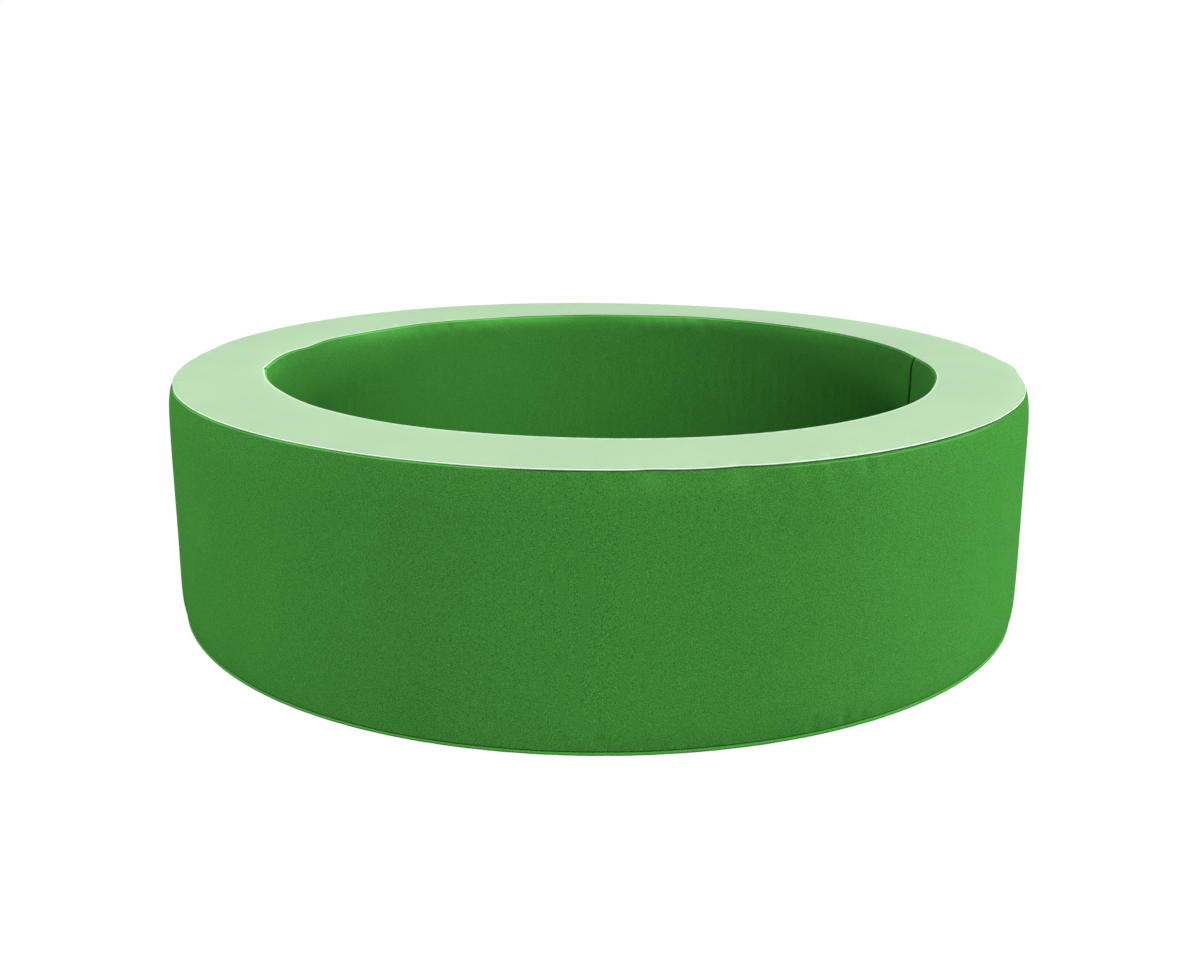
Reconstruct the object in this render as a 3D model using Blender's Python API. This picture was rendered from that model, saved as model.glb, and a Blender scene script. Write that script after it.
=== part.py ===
"""Round ball pit: a padded foam ring in a sewn vinyl cover, with a padded floor mat inside it.

Metres, +Z up. The origin is on the floor at the ring's centre, and +Y points away from the viewer.
"""

from math import cos, hypot, radians, sin, tau

import bmesh
import bpy
from mathutils import Matrix, Vector

# The ring's driving sizes
OUTER_RADIUS = 0.750
HEIGHT = 0.410
RING_WIDTH = 0.169

# Fabric of the covers and the room between pieces that touch
VINYL_THICKNESS = 0.001
SEAM_ALLOWANCE = 0.010
CLEARANCE = 0.0003

# The ring's top edge and foot
CROWN_RISE = 0.0015
TOP_EDGE_RADIUS = 0.003
FOOT_CHAMFER = 0.0045

# Facets of the round pieces, and the first vertical seam
FACETS = 72
FOAM_ARCS = 4
SEAM_ANGLE = radians(7.5)

# Zip round the back of the ring's foot, counted in facets from the first seam
ZIP_FIRST_FACET = 4
ZIP_FACETS = 27
TAPE_THICKNESS = 0.0005
TAPE_WIDTH = 0.012
TAPE_SEAM_WIDTH = 0.006
TEETH_HEIGHT = 0.0024
TEETH_THICKNESS = 0.0024
TEETH_GAP = 0.0016
STOP_LENGTH = 0.003
FOAM_CHANNEL_DEPTH = 0.007

# Zip slider and its pull tab
SLIDER_LENGTH = 0.012
SLIDER_PLATE = 0.0012
SLIDER_CLEARANCE = 0.0005
SLIDER_POST = 0.0008
SLIDER_PARKING_ROOM = 0.002
BRIDGE_LENGTH = 0.006
BRIDGE_WIDTH = 0.0016
BRIDGE_BAR = 0.0009
BRIDGE_WINDOW = 0.0022
PULL_TAB_LENGTH = 0.026
PULL_TAB_WIDTH = 0.006
PULL_TAB_THICKNESS = 0.001
PULL_TAB_CLEARANCE = 0.0005

# Floor mat
MAT_THICKNESS = 0.040
MAT_CROWN_RISE = 0.003
MAT_EDGE_RADIUS = 0.006
MAT_FLAT_RADIUS = 0.400

# Hook and loop patches between the mat and the ring, counted in facets from the first seam
PATCH_COUNT = 4
PATCH_FIRST_FACET = 8
PATCH_HEIGHT = 0.024
PATCH_THICKNESS = 0.002
PATCH_CLEARANCE = 0.0004

# Shares chosen by hand
EDGE_ARC_SHARES = (0.0, 0.5, 1.0)
CROWN_SHARES = (0.0, 0.5, 1.0)

# Worked out from the sizes above
INNER_RADIUS = OUTER_RADIUS - RING_WIDTH
FACET_ANGLE = tau / FACETS
FACET_SAG = OUTER_RADIUS * (1 - cos(FACET_ANGLE / 2))
HALF_VINYL = VINYL_THICKNESS / 2
SEAM_STEP = VINYL_THICKNESS + CLEARANCE
OUTER_SKIN = OUTER_RADIUS - HALF_VINYL
INNER_SKIN = INNER_RADIUS + HALF_VINYL
BASE_SEAM_HEIGHT = HALF_VINYL + FOOT_CHAMFER
WALL_LOW = BASE_SEAM_HEIGHT + SEAM_STEP
TOP_EDGE_HEIGHT = HEIGHT - CROWN_RISE - HALF_VINYL
TOP_SEAM_HEIGHT = TOP_EDGE_HEIGHT - TOP_EDGE_RADIUS
WALL_HIGH = TOP_SEAM_HEIGHT - SEAM_STEP

TAPE_RADIUS = OUTER_RADIUS - VINYL_THICKNESS - CLEARANCE - TAPE_THICKNESS / 2
TEETH_INSIDE = OUTER_RADIUS - VINYL_THICKNESS
TEETH_OUTSIDE = TEETH_INSIDE + TEETH_THICKNESS
TAPE_LOW = BASE_SEAM_HEIGHT + HALF_VINYL + CLEARANCE + TAPE_THICKNESS / 2
TAPE_FREE_WIDTH = TAPE_WIDTH - TAPE_SEAM_WIDTH
ZIP_HEIGHT = TAPE_LOW + TAPE_FREE_WIDTH + TEETH_GAP / 2
SLIDER_HALF_HEIGHT = TEETH_GAP / 2 + TEETH_HEIGHT + SLIDER_CLEARANCE + SLIDER_PLATE
ZIP_SLOT_TOP = ZIP_HEIGHT + TEETH_GAP / 2 + TAPE_FREE_WIDTH
FOAM_CHANNEL_TOP = ZIP_HEIGHT + TEETH_GAP / 2 + TAPE_WIDTH + CLEARANCE
ZIP_START = SEAM_ANGLE + ZIP_FIRST_FACET * FACET_ANGLE
ZIP_END = ZIP_START + ZIP_FACETS * FACET_ANGLE
SLIDER_FACE = TEETH_OUTSIDE + SLIDER_CLEARANCE + SLIDER_PLATE
SLIDER_ANGLE = ZIP_START + (CLEARANCE + STOP_LENGTH + SLIDER_PARKING_ROOM + SLIDER_LENGTH / 2) / OUTER_RADIUS
PULL_TAB_AXIS = SLIDER_FACE + BRIDGE_WINDOW / 2

MAT_GAP = 2 * (CLEARANCE + PATCH_THICKNESS) + PATCH_CLEARANCE
MAT_RADIUS = INNER_RADIUS - MAT_GAP
MAT_SKIN = MAT_RADIUS - HALF_VINYL
MAT_PEAK = MAT_THICKNESS - HALF_VINYL
MAT_TOP_SEAM = MAT_PEAK - MAT_CROWN_RISE - MAT_EDGE_RADIUS
MAT_BAND_HIGH = MAT_TOP_SEAM - SEAM_STEP
PATCH_MIDDLE = (WALL_LOW + MAT_BAND_HIGH) / 2

OVERRUN = 0.002
MERGE_DISTANCE = 0.00001
SMOOTH_ANGLE = radians(40)


def clear_scene():
    for thing in list(bpy.data.objects):
        bpy.data.objects.remove(thing, do_unlink=True)


def principled(name, colour, roughness, metallic=0.0):
    material = bpy.data.materials.new(name)
    material.use_nodes = True
    shader = material.node_tree.nodes["Principled BSDF"]
    shader.inputs["Base Color"].default_value = (*colour, 1.0)
    shader.inputs["Roughness"].default_value = roughness
    shader.inputs["Metallic"].default_value = metallic
    material.diffuse_color = (*colour, 1.0)
    return material


def finished(name, mesh, material, place=None):
    """Puts a bmesh into the scene as a named object, with its faces out and its round sides smooth."""
    bmesh.ops.remove_doubles(mesh, verts=mesh.verts, dist=MERGE_DISTANCE)
    bmesh.ops.recalc_face_normals(mesh, faces=mesh.faces)
    data = bpy.data.meshes.new(name)
    mesh.to_mesh(data)
    mesh.free()
    data.materials.append(material)
    data.shade_smooth()
    data.set_sharp_from_angle(angle=SMOOTH_ANGLE)
    thing = bpy.data.objects.new(name, data)
    bpy.context.scene.collection.objects.link(thing)
    if place is not None:
        thing.matrix_world = place
    return thing


def sheet_outline(centreline, thickness):
    """Closed outline of a bent sheet, from the line through the middle of its thickness."""
    points = [Vector(point) for point in centreline]
    runs = [(b - a).normalized() for a, b in zip(points, points[1:])]
    one_side, other_side = [], []
    for point, before, after in zip(points, runs[:1] + runs, runs + runs[-1:]):
        bend = (before + after).normalized()
        across = Vector((-bend.y, bend.x)) * (thickness / 2 / bend.dot(after))
        one_side.append(point + across)
        other_side.append(point - across)
    return one_side + other_side[::-1]


def turned(name, outline, material, first=0.0, last=tau, steps=FACETS):
    """Solid that an outline of (radius, height) points sweeps round the ring's axis, from first to last."""
    mesh = bmesh.new()
    corners = [mesh.verts.new((r * cos(first), r * sin(first), z)) for r, z in outline]
    sides = [mesh.edges.new(pair) for pair in zip(corners, corners[1:] + corners[:1])]
    bmesh.ops.spin(mesh, geom=corners + sides, axis=(0, 0, 1), cent=(0, 0, 0), angle=last - first, steps=steps)
    if last - first < tau - FACET_ANGLE / 2:
        bmesh.ops.holes_fill(mesh, edges=mesh.edges)
    return finished(name, mesh, material)


def whole_ring(name, outline, material):
    return turned(name, outline, material, SEAM_ANGLE, SEAM_ANGLE + tau)


def extruded(name, outline, depth, material, place):
    """Solid that a flat outline makes along its frame's third axis, centred on the frame."""
    mesh = bmesh.new()
    face = mesh.faces.new([mesh.verts.new((x, y, -depth / 2)) for x, y in outline])
    grown = bmesh.ops.extrude_face_region(mesh, geom=[face])["geom"]
    top = [element for element in grown if isinstance(element, bmesh.types.BMVert)]
    bmesh.ops.translate(mesh, verts=top, vec=(0, 0, depth))
    return finished(name, mesh, material, place)


def rectangle(x_low, x_high, y_low, y_high):
    return [(x_low, y_low), (x_high, y_low), (x_high, y_high), (x_low, y_high)]


def tangent_frame(angle, radius, height):
    """Frame on the ring: its first axis points outwards, its second along the ring and its third up."""
    turn = Matrix.Rotation(angle, 4, "Z")
    return turn @ Matrix.Translation((radius, 0, height))


def along_frame(angle, radius, height):
    """Frame on the ring: its first axis points outwards, its second up and its third back along the ring."""
    return tangent_frame(angle, radius, height) @ Matrix.Rotation(radians(90), 4, "X")


def with_boolean(thing, other, operation):
    """Cuts or joins another object, which stays behind as a hidden guide."""
    other.hide_render = True
    other.display_type = "WIRE"
    modifier = thing.modifiers.new(other.name, "BOOLEAN")
    modifier.operation = operation
    modifier.object = other
    return thing


def crown_line(low_radius, high_radius, edge_height, rise):
    """Points of a low crown between two radii, with its highest point halfway."""
    return [
        (low_radius + (high_radius - low_radius) * share, edge_height + rise * 4 * share * (1 - share))
        for share in CROWN_SHARES
    ]


def rolled_edge(radius, height, roll, outwards):
    """Points of a rounded edge from the side of a cover up to its top; outwards is 1 at an outer edge."""
    return [
        (radius - outwards * roll * (1 - cos(radians(90) * share)), height + roll * sin(radians(90) * share))
        for share in EDGE_ARC_SHARES
    ]


def add_top_panel(material):
    inner = rolled_edge(INNER_SKIN, TOP_SEAM_HEIGHT, TOP_EDGE_RADIUS, -1)
    outer = rolled_edge(OUTER_SKIN, TOP_SEAM_HEIGHT, TOP_EDGE_RADIUS, 1)[::-1]
    crown = crown_line(INNER_SKIN + TOP_EDGE_RADIUS, OUTER_SKIN - TOP_EDGE_RADIUS, TOP_EDGE_HEIGHT, CROWN_RISE)
    line = [
        (INNER_SKIN + SEAM_ALLOWANCE, TOP_SEAM_HEIGHT),
        *inner,
        *crown[1:-1],
        *outer,
        (OUTER_SKIN - SEAM_ALLOWANCE, TOP_SEAM_HEIGHT),
    ]
    whole_ring("ring_top_panel", sheet_outline(line, VINYL_THICKNESS), material)


def add_base_panel(material):
    line = [
        (INNER_SKIN + SEAM_ALLOWANCE, BASE_SEAM_HEIGHT),
        (INNER_SKIN, BASE_SEAM_HEIGHT),
        (INNER_SKIN + FOOT_CHAMFER, HALF_VINYL),
        (OUTER_SKIN - FOOT_CHAMFER, HALF_VINYL),
        (OUTER_SKIN, BASE_SEAM_HEIGHT),
        (OUTER_SKIN - SEAM_ALLOWANCE, BASE_SEAM_HEIGHT),
    ]
    whole_ring("ring_base_panel", sheet_outline(line, VINYL_THICKNESS), material)


def add_wall_panel(name, skin_radius, foam_side, half, material):
    """One half of a wall, with its top and bottom edges turned in and a seam flap at each end.

    foam_side is 1 where the foam lies at larger radii than the skin, and -1 where it lies at smaller ones.
    """
    tip = skin_radius + foam_side * SEAM_ALLOWANCE
    line = [(tip, WALL_LOW), (skin_radius, WALL_LOW), (skin_radius, WALL_HIGH), (tip, WALL_HIGH)]
    start = SEAM_ANGLE + half * tau / 2
    trim = CLEARANCE / 2 / skin_radius
    panel = turned(
        name, sheet_outline(line, VINYL_THICKNESS), material, start + trim, start + tau / 2 - trim, FACETS // 2
    )
    for end, inwards in ((start, 1), (start + tau / 2, -1)):
        near = inwards * CLEARANCE
        far = near + inwards * VINYL_THICKNESS
        outline = rectangle(0, foam_side * SEAM_ALLOWANCE, near, far)
        frame = tangent_frame(end, skin_radius, (WALL_LOW + WALL_HIGH) / 2)
        flap = extruded(f"{name}_flap_guide", outline, WALL_HIGH - WALL_LOW, material, frame)
        with_boolean(panel, flap, "UNION")
    return panel


def cut_zip_slot(panel, material):
    """Opens the lower edge of the back wall along the zip."""
    outline = rectangle(
        OUTER_SKIN - SEAM_ALLOWANCE - OVERRUN, OUTER_RADIUS + OVERRUN, WALL_LOW - VINYL_THICKNESS, ZIP_SLOT_TOP
    )
    cutter = turned("zip_slot_guide", outline, material, ZIP_START, ZIP_END, ZIP_FACETS)
    with_boolean(panel, cutter, "DIFFERENCE")


def foam_outline(has_zip_channel):
    """Section of the ring's foam, cut back at its edges for the seams and, at the back, for the zip."""
    face_in, face_out = INNER_RADIUS + SEAM_STEP, OUTER_RADIUS - SEAM_STEP
    rebate_in = INNER_SKIN + SEAM_ALLOWANCE + CLEARANCE
    rebate_out = OUTER_SKIN - SEAM_ALLOWANCE - CLEARANCE
    low, high = SEAM_STEP, TOP_EDGE_HEIGHT - HALF_VINYL - CLEARANCE
    shoulder_low = WALL_LOW + HALF_VINYL + CLEARANCE
    shoulder_high = WALL_HIGH - HALF_VINYL - CLEARANCE
    foot = [(face_out, shoulder_low)]
    if has_zip_channel:
        channel = face_out - FOAM_CHANNEL_DEPTH
        foot = [(face_out, FOAM_CHANNEL_TOP), (channel, FOAM_CHANNEL_TOP), (channel, shoulder_low)]
    return [
        (rebate_in, low),
        (rebate_in, shoulder_low),
        (face_in, shoulder_low),
        (face_in, shoulder_high),
        (rebate_in, shoulder_high),
        *crown_line(rebate_in, rebate_out, high, CROWN_RISE),
        (rebate_out, shoulder_high),
        (face_out, shoulder_high),
        *foot,
        (rebate_out, shoulder_low),
        (rebate_out, low),
    ]


def add_foam_arcs(material):
    """Quarter arcs glued end to end; the ends at the vinyl's vertical seams leave room for the seam flaps."""
    quarter = FACETS // FOAM_ARCS
    seam_room = (CLEARANCE + VINYL_THICKNESS + CLEARANCE) / INNER_RADIUS
    glue_room = CLEARANCE / 2 / INNER_RADIUS
    for arc in range(FOAM_ARCS):
        first = SEAM_ANGLE + arc * quarter * FACET_ANGLE
        at_seam_first = arc % (FOAM_ARCS // 2) == 0
        at_seam_last = (arc + 1) % (FOAM_ARCS // 2) == 0
        turned(
            f"foam_core_{arc + 1}",
            foam_outline(has_zip_channel=arc < FOAM_ARCS // 2),
            material,
            first + (seam_room if at_seam_first else glue_room),
            first + quarter * FACET_ANGLE - (seam_room if at_seam_last else glue_room),
            quarter,
        )


def add_zip(tape_material, teeth_material, metal):
    """The two tapes with their rows of teeth, and the stops that end the slider's travel."""
    trim = CLEARANCE / OUTER_RADIUS
    first, last = ZIP_START + trim, ZIP_END - trim
    lower_edge, upper_edge = ZIP_HEIGHT - TEETH_GAP / 2, ZIP_HEIGHT + TEETH_GAP / 2
    lower = [(TAPE_RADIUS - TAPE_SEAM_WIDTH, TAPE_LOW), (TAPE_RADIUS, TAPE_LOW), (TAPE_RADIUS, lower_edge)]
    upper = [(TAPE_RADIUS, upper_edge), (TAPE_RADIUS, upper_edge + TAPE_WIDTH)]
    for name, line in (("zip_lower_tape", lower), ("zip_upper_tape", upper)):
        turned(name, sheet_outline(line, TAPE_THICKNESS), tape_material, first, last, ZIP_FACETS)
    stop_room = (STOP_LENGTH + CLEARANCE) / OUTER_RADIUS
    rows = (
        ("zip_lower_teeth", lower_edge - TEETH_HEIGHT, lower_edge),
        ("zip_upper_teeth", upper_edge, upper_edge + TEETH_HEIGHT),
    )
    for name, low, high in rows:
        outline = rectangle(TEETH_INSIDE, TEETH_OUTSIDE, low, high)
        turned(name, outline, teeth_material, first + stop_room, last - stop_room, ZIP_FACETS)
    half_height = TEETH_GAP / 2 + TEETH_HEIGHT
    stop = rectangle(TEETH_INSIDE, TEETH_OUTSIDE, ZIP_HEIGHT - half_height, ZIP_HEIGHT + half_height)
    turned("zip_start_stop", stop, metal, first, first + STOP_LENGTH / OUTER_RADIUS, 1)
    turned("zip_end_stop", stop, metal, last - STOP_LENGTH / OUTER_RADIUS, last, 1)


def add_zip_slider(metal):
    """Two plates on either side of the teeth, joined by a post that runs between the two rows."""
    inner_face = TAPE_RADIUS - TAPE_THICKNESS / 2 - FACET_SAG - SLIDER_CLEARANCE
    inner_back = inner_face - SLIDER_PLATE
    outer_under = SLIDER_FACE - SLIDER_PLATE
    flange_end = TEETH_INSIDE + SLIDER_CLEARANCE
    flange_side = SLIDER_HALF_HEIGHT - SLIDER_PLATE
    half_post = SLIDER_POST / 2
    half = [
        (inner_back, SLIDER_HALF_HEIGHT),
        (inner_face, SLIDER_HALF_HEIGHT),
        (inner_face, half_post),
        (outer_under, half_post),
        (outer_under, flange_side),
        (flange_end, flange_side),
        (flange_end, SLIDER_HALF_HEIGHT),
        (SLIDER_FACE, SLIDER_HALF_HEIGHT),
    ]
    section = [(r, z) for r, z in half] + [(r, -z) for r, z in reversed(half)]
    slider = extruded("zip_slider", section, SLIDER_LENGTH, metal, along_frame(SLIDER_ANGLE, 0, ZIP_HEIGHT))
    foot, head, top = SLIDER_FACE - SLIDER_PLATE / 2, SLIDER_FACE + BRIDGE_WINDOW, BRIDGE_LENGTH / 2
    side = top - BRIDGE_BAR
    arch = [
        (foot, -top),
        (head + BRIDGE_BAR, -top),
        (head + BRIDGE_BAR, top),
        (foot, top),
        (foot, side),
        (head, side),
        (head, -side),
        (foot, -side),
    ]
    bridge = extruded("zip_slider_bridge_guide", arch, BRIDGE_WIDTH, metal, tangent_frame(SLIDER_ANGLE, 0, ZIP_HEIGHT))
    with_boolean(slider, bridge, "UNION")


def add_pull_tab(metal):
    """Flat tab that lies along the teeth; the bar at its eye's end turns inside the slider's bridge."""
    half_bar = PULL_TAB_THICKNESS / 2
    frame = tangent_frame(SLIDER_ANGLE, PULL_TAB_AXIS, ZIP_HEIGHT)
    blade = rectangle(-half_bar, half_bar, -half_bar, PULL_TAB_LENGTH)
    tab = extruded("zip_pull_tab", blade, PULL_TAB_WIDTH, metal, frame)
    eye_end = hypot(BRIDGE_LENGTH / 2, BRIDGE_WINDOW / 2 + BRIDGE_BAR) + PULL_TAB_CLEARANCE
    eye = rectangle(-PULL_TAB_THICKNESS, PULL_TAB_THICKNESS, half_bar, eye_end)
    cutter = extruded("zip_pull_tab_eye_guide", eye, BRIDGE_WIDTH + 2 * PULL_TAB_CLEARANCE, metal, frame)
    with_boolean(tab, cutter, "DIFFERENCE")


def add_mat(top_material, side_material, foam_material):
    """Foam disc in its own cover of a top, a side band and a base, closed all round."""
    tip = MAT_SKIN - SEAM_ALLOWANCE
    roll = rolled_edge(MAT_SKIN, MAT_TOP_SEAM, MAT_EDGE_RADIUS, 1)[::-1]
    top = [(0, MAT_PEAK), (MAT_FLAT_RADIUS, MAT_PEAK), *roll, (tip, MAT_TOP_SEAM)]
    whole_ring("mat_top_panel", sheet_outline(top, VINYL_THICKNESS), top_material)
    base = [(0, HALF_VINYL), (MAT_SKIN - FOOT_CHAMFER, HALF_VINYL), (MAT_SKIN, BASE_SEAM_HEIGHT), (tip, BASE_SEAM_HEIGHT)]
    whole_ring("mat_base_panel", sheet_outline(base, VINYL_THICKNESS), side_material)
    band = [(tip, WALL_LOW), (MAT_SKIN, WALL_LOW), (MAT_SKIN, MAT_BAND_HIGH), (tip, MAT_BAND_HIGH)]
    whole_ring("mat_side_band", sheet_outline(band, VINYL_THICKNESS), side_material)
    under_top = HALF_VINYL + CLEARANCE
    rebate = tip - CLEARANCE
    shoulder_low = WALL_LOW + under_top
    shoulder_high = MAT_BAND_HIGH - under_top
    foam = [
        (0, SEAM_STEP),
        (rebate, SEAM_STEP),
        (rebate, shoulder_low),
        (MAT_RADIUS - SEAM_STEP, shoulder_low),
        (MAT_RADIUS - SEAM_STEP, shoulder_high),
        (rebate, shoulder_high),
        (rebate, MAT_PEAK - MAT_CROWN_RISE - under_top),
        (MAT_FLAT_RADIUS, MAT_PEAK - under_top),
        (0, MAT_PEAK - under_top),
    ]
    whole_ring("mat_foam_disc", foam, foam_material)


def add_patches(material):
    """Loop patches on the ring's inner wall, each facing a hook patch on the mat's side band."""
    low, high = PATCH_MIDDLE - PATCH_HEIGHT / 2, PATCH_MIDDLE + PATCH_HEIGHT / 2
    loop_face = INNER_RADIUS - CLEARANCE
    hook_face = MAT_RADIUS + CLEARANCE
    for patch in range(PATCH_COUNT):
        first = SEAM_ANGLE + (PATCH_FIRST_FACET + patch * FACETS // PATCH_COUNT) * FACET_ANGLE
        loops = rectangle(loop_face - PATCH_THICKNESS, loop_face, low, high)
        hooks = rectangle(hook_face, hook_face + PATCH_THICKNESS, low, high)
        turned(f"loop_patch_{patch + 1}", loops, material, first, first + FACET_ANGLE, 1)
        turned(f"hook_patch_{patch + 1}", hooks, material, first, first + FACET_ANGLE, 1)


def build():
    clear_scene()
    rim_vinyl = principled("light green vinyl", (0.49, 0.72, 0.46), 0.45)
    wall_vinyl = principled("mid green vinyl", (0.045, 0.20, 0.032), 0.45)
    foam = principled("pale foam", (0.80, 0.78, 0.70), 0.9)
    tape = principled("green zip tape", (0.03, 0.14, 0.025), 0.85)
    teeth = principled("green zip teeth", (0.035, 0.16, 0.03), 0.5)
    metal = principled("nickel plated zinc", (0.62, 0.62, 0.60), 0.3, 1.0)
    hook_and_loop = principled("black hook and loop", (0.02, 0.02, 0.02), 0.95)
    add_top_panel(rim_vinyl)
    add_wall_panel("outer_wall_front_panel", OUTER_SKIN, -1, 1, wall_vinyl)
    back = add_wall_panel("outer_wall_back_panel", OUTER_SKIN, -1, 0, wall_vinyl)
    cut_zip_slot(back, wall_vinyl)
    add_wall_panel("inner_wall_front_panel", INNER_SKIN, 1, 1, wall_vinyl)
    add_wall_panel("inner_wall_back_panel", INNER_SKIN, 1, 0, wall_vinyl)
    add_base_panel(wall_vinyl)
    add_foam_arcs(foam)
    add_zip(tape, teeth, metal)
    add_zip_slider(metal)
    add_pull_tab(metal)
    add_mat(wall_vinyl, wall_vinyl, foam)
    add_patches(hook_and_loop)


build()
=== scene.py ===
"""Looks of the round ball pit: sewn vinyl covers, foam, zip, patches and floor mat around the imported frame.

Metres, +Z up, with the ring's axis at the origin and the viewer on the -Y side.
"""

from math import cos, degrees, pi, radians, sin, tau

import bpy
import numpy as np
from mathutils import Matrix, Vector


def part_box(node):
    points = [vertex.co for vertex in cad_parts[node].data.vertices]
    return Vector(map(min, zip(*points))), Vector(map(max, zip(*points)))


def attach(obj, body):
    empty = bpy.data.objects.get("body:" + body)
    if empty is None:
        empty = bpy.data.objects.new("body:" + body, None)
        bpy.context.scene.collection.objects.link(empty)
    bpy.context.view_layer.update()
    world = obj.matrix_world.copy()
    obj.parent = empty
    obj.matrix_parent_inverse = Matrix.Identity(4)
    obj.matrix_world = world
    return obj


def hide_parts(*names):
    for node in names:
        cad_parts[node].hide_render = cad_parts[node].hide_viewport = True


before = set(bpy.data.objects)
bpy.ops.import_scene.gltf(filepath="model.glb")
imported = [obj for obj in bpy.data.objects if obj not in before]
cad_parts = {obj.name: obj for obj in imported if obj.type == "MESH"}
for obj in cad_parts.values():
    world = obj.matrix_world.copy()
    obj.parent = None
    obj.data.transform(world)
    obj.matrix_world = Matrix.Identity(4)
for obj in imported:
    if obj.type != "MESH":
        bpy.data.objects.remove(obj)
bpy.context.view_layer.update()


def reach(node):
    """Least and greatest radius, then least and greatest height, of a CAD node."""
    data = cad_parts[node].data
    points = np.empty(len(data.vertices) * 3)
    data.vertices.foreach_get("co", points)
    points = points.reshape(-1, 3)
    radii = np.hypot(points[:, 0], points[:, 1])
    return radii.min(), radii.max(), points[:, 2].min(), points[:, 2].max()


# Camera that took the photograph
EYE = (0.0014, -2.4969, 0.8751)
PITCH = radians(15.415)
ROLL = radians(0.44)
LENS_MM = 41.99
SENSOR_MM = 36.0
FAR_CLIP = 200.0

# Cover fabric and the shapes of its edges
THICKNESS = 0.001
TURNED_IN = 0.008
FOLD = 0.0015
FLAP_FOLD = 0.8 * FOLD
RIM_ROLL = 0.0012
RIM_SET_BACK = 0.0030
RIM_CROWN = 0.0015
GROOVE = 0.0005
VERTICAL_GROOVE = 0.0020
SHOULDER_POWER = 1.3
SHARP_ANGLE = radians(50)
MAT_ROLL = 0.0052
MAT_CROWN = 0.003
MAT_FLAT = 0.40
ROLL_STEPS = 12
MAT_ROLL_STEPS = 10

# Ring, mat and zip, read from the frame
INNER, OUTER, _, TOP = reach("ring_top_panel")
WALL_LOW = reach("outer_wall_front_panel")[2]
FOOT_SEAM = reach("ring_base_panel")[3]
MAT_OUTER, MAT_SEAM, MAT_TOP = reach("mat_top_panel")[1:]
MAT_BAND_LOW, MAT_BAND_HIGH = reach("mat_side_band")[2:]
MAT_FOOT_SEAM = reach("mat_base_panel")[3]
LOWER_TAPE = reach("zip_lower_tape")
UPPER_TAPE = reach("zip_upper_tape")
LOWER_TEETH = reach("zip_lower_teeth")
UPPER_TEETH = reach("zip_upper_teeth")
TAPE_BEHIND_WALL = 0.006
ZIP_SLOT_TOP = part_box("zip_upper_tape")[1].z - TAPE_BEHIND_WALL

# Where the rim turns under and the walls turn in
RIM_UNDER = TOP - RIM_CROWN - 2 * RIM_ROLL
WALL_TOP = RIM_UNDER - GROOVE

# Angles that the frame's pieces share
SEAM_ANGLE = radians(7.5)
ZIP_START = radians(27.5)
ZIP_END = radians(162.5)
PATCH_FIRST = radians(47.5)
PATCH_SPAN = radians(5)
PATCH_COUNT = 4

# Steps between the points of a fine surface
FINE_STEP = 0.0005
STEP_GROWTH = 0.2
ROW_STEP = 0.012
COLUMN_STEP = 0.0044
MAT_ROW_STEP = 0.008
MAT_COLUMNS = 720
TAPE_STEP = 0.001
WELD = 0.00001

# Gathers: how soon they rise from a seam, their sizes, and those of a seam and of its bunched stretches
GATHER_RISE = 0.007
GATHER_START = 0.25
GATHER_LENGTHS = (0.015, 0.05)
GATHER_WIDTHS = (0.006, 0.012)
GATHER_SLANT = 0.25
GATHER_SPREAD = (0.5, 1.5)
GATHER_SPACING = 0.035
GATHER_DEPTH = 0.00022
BUNCH_SPACING = 0.022
BUNCH_DEPTH = 0.0007
BUNCH_LEAST = 0.4
BUNCH_LENGTHS = (0.02, 0.06)
SHOULDER = 0.014

# How far from its seam a round panel still strays and gathers, and how a rim takes the gathers of its seams
STRAY_REACH = 0.10
GATHER_LIMIT = 0.15
RIM_PUCKER = 0.3

# Colours of the covers and the zip
RIM_GREEN = (0.406, 0.592, 0.378)
# Paler greens that the highlights painted on the covers' folds and edges mix towards; they also tint the covers'
# sheen
RIM_HIGHLIGHT_GREEN = (0.82, 0.93, 0.78)
WALL_GREEN = (0.042, 0.195, 0.031)
WALL_HIGHLIGHT_GREEN = (0.13, 0.60, 0.095)
TAPE_GREEN = (0.03, 0.14, 0.025)
TEETH_GREEN = (0.035, 0.16, 0.03)
THREAD_GREEN = (0.05, 0.22, 0.04)
BLACK = (0.02, 0.02, 0.02)
# Share of a fabric's colour that painted shade darkens it towards
DARKEST = 0.15

# Grain of the covers and the other weaves, in waves a metre or a turn, and how strongly the covers are mottled
GRAIN_SCALE = 800.0
PEBBLE_SCALE = 700.0
BROAD_SCALE = 7.0
BROAD_MOTTLE = 0.02
RIM_MOTTLE = 0.03
WALL_MOTTLE = 0.5
GRAIN_DEPTH = 0.0003
CREASE_SHARE = 0.6
SHEEN_WEIGHT = 0.02
VINYL_ROUGHNESS = (0.54, 0.68)
TAPE_WARP = 5000
TAPE_WEFT_PITCH = 0.0008
PLY_TURNS = (9000.0, 8000.0)
LOOP_SCALE = 900.0
HOOK_SCALE = 1400.0

# Folds and seams: how blurred they are, how pale the highlights painted on them and how dark the shade painted in
# them, and the ridge that the turned-in edge makes under the rim
FOLD_BLUR = 0.8
FOLD_HIGHLIGHT = 0.45
FOLD_FROM_TO = (-160, -100)
FOOT_SHADE = 0.8
SEAM_SHADE = {"outer": (0.7, 0.0015), "inner": (0.95, 0.0034)}
SEAM_LIT = 0.06
SEAM_LIT_WIDTH = 0.025
GROOVE_SHADE = 0.5
GROOVE_SHADE_WIDTH = 0.0008
GROOVE_SHADE_FROM_TO = (-98, -38)
RIDGE_HEIGHT = 0.0005
RIDGE_DROP = 0.0036
RIDGE_WIDTH = 0.0007
RIDGE_FROM_TO = (-72, -38)
STRETCH_FADE = radians(6)
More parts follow.
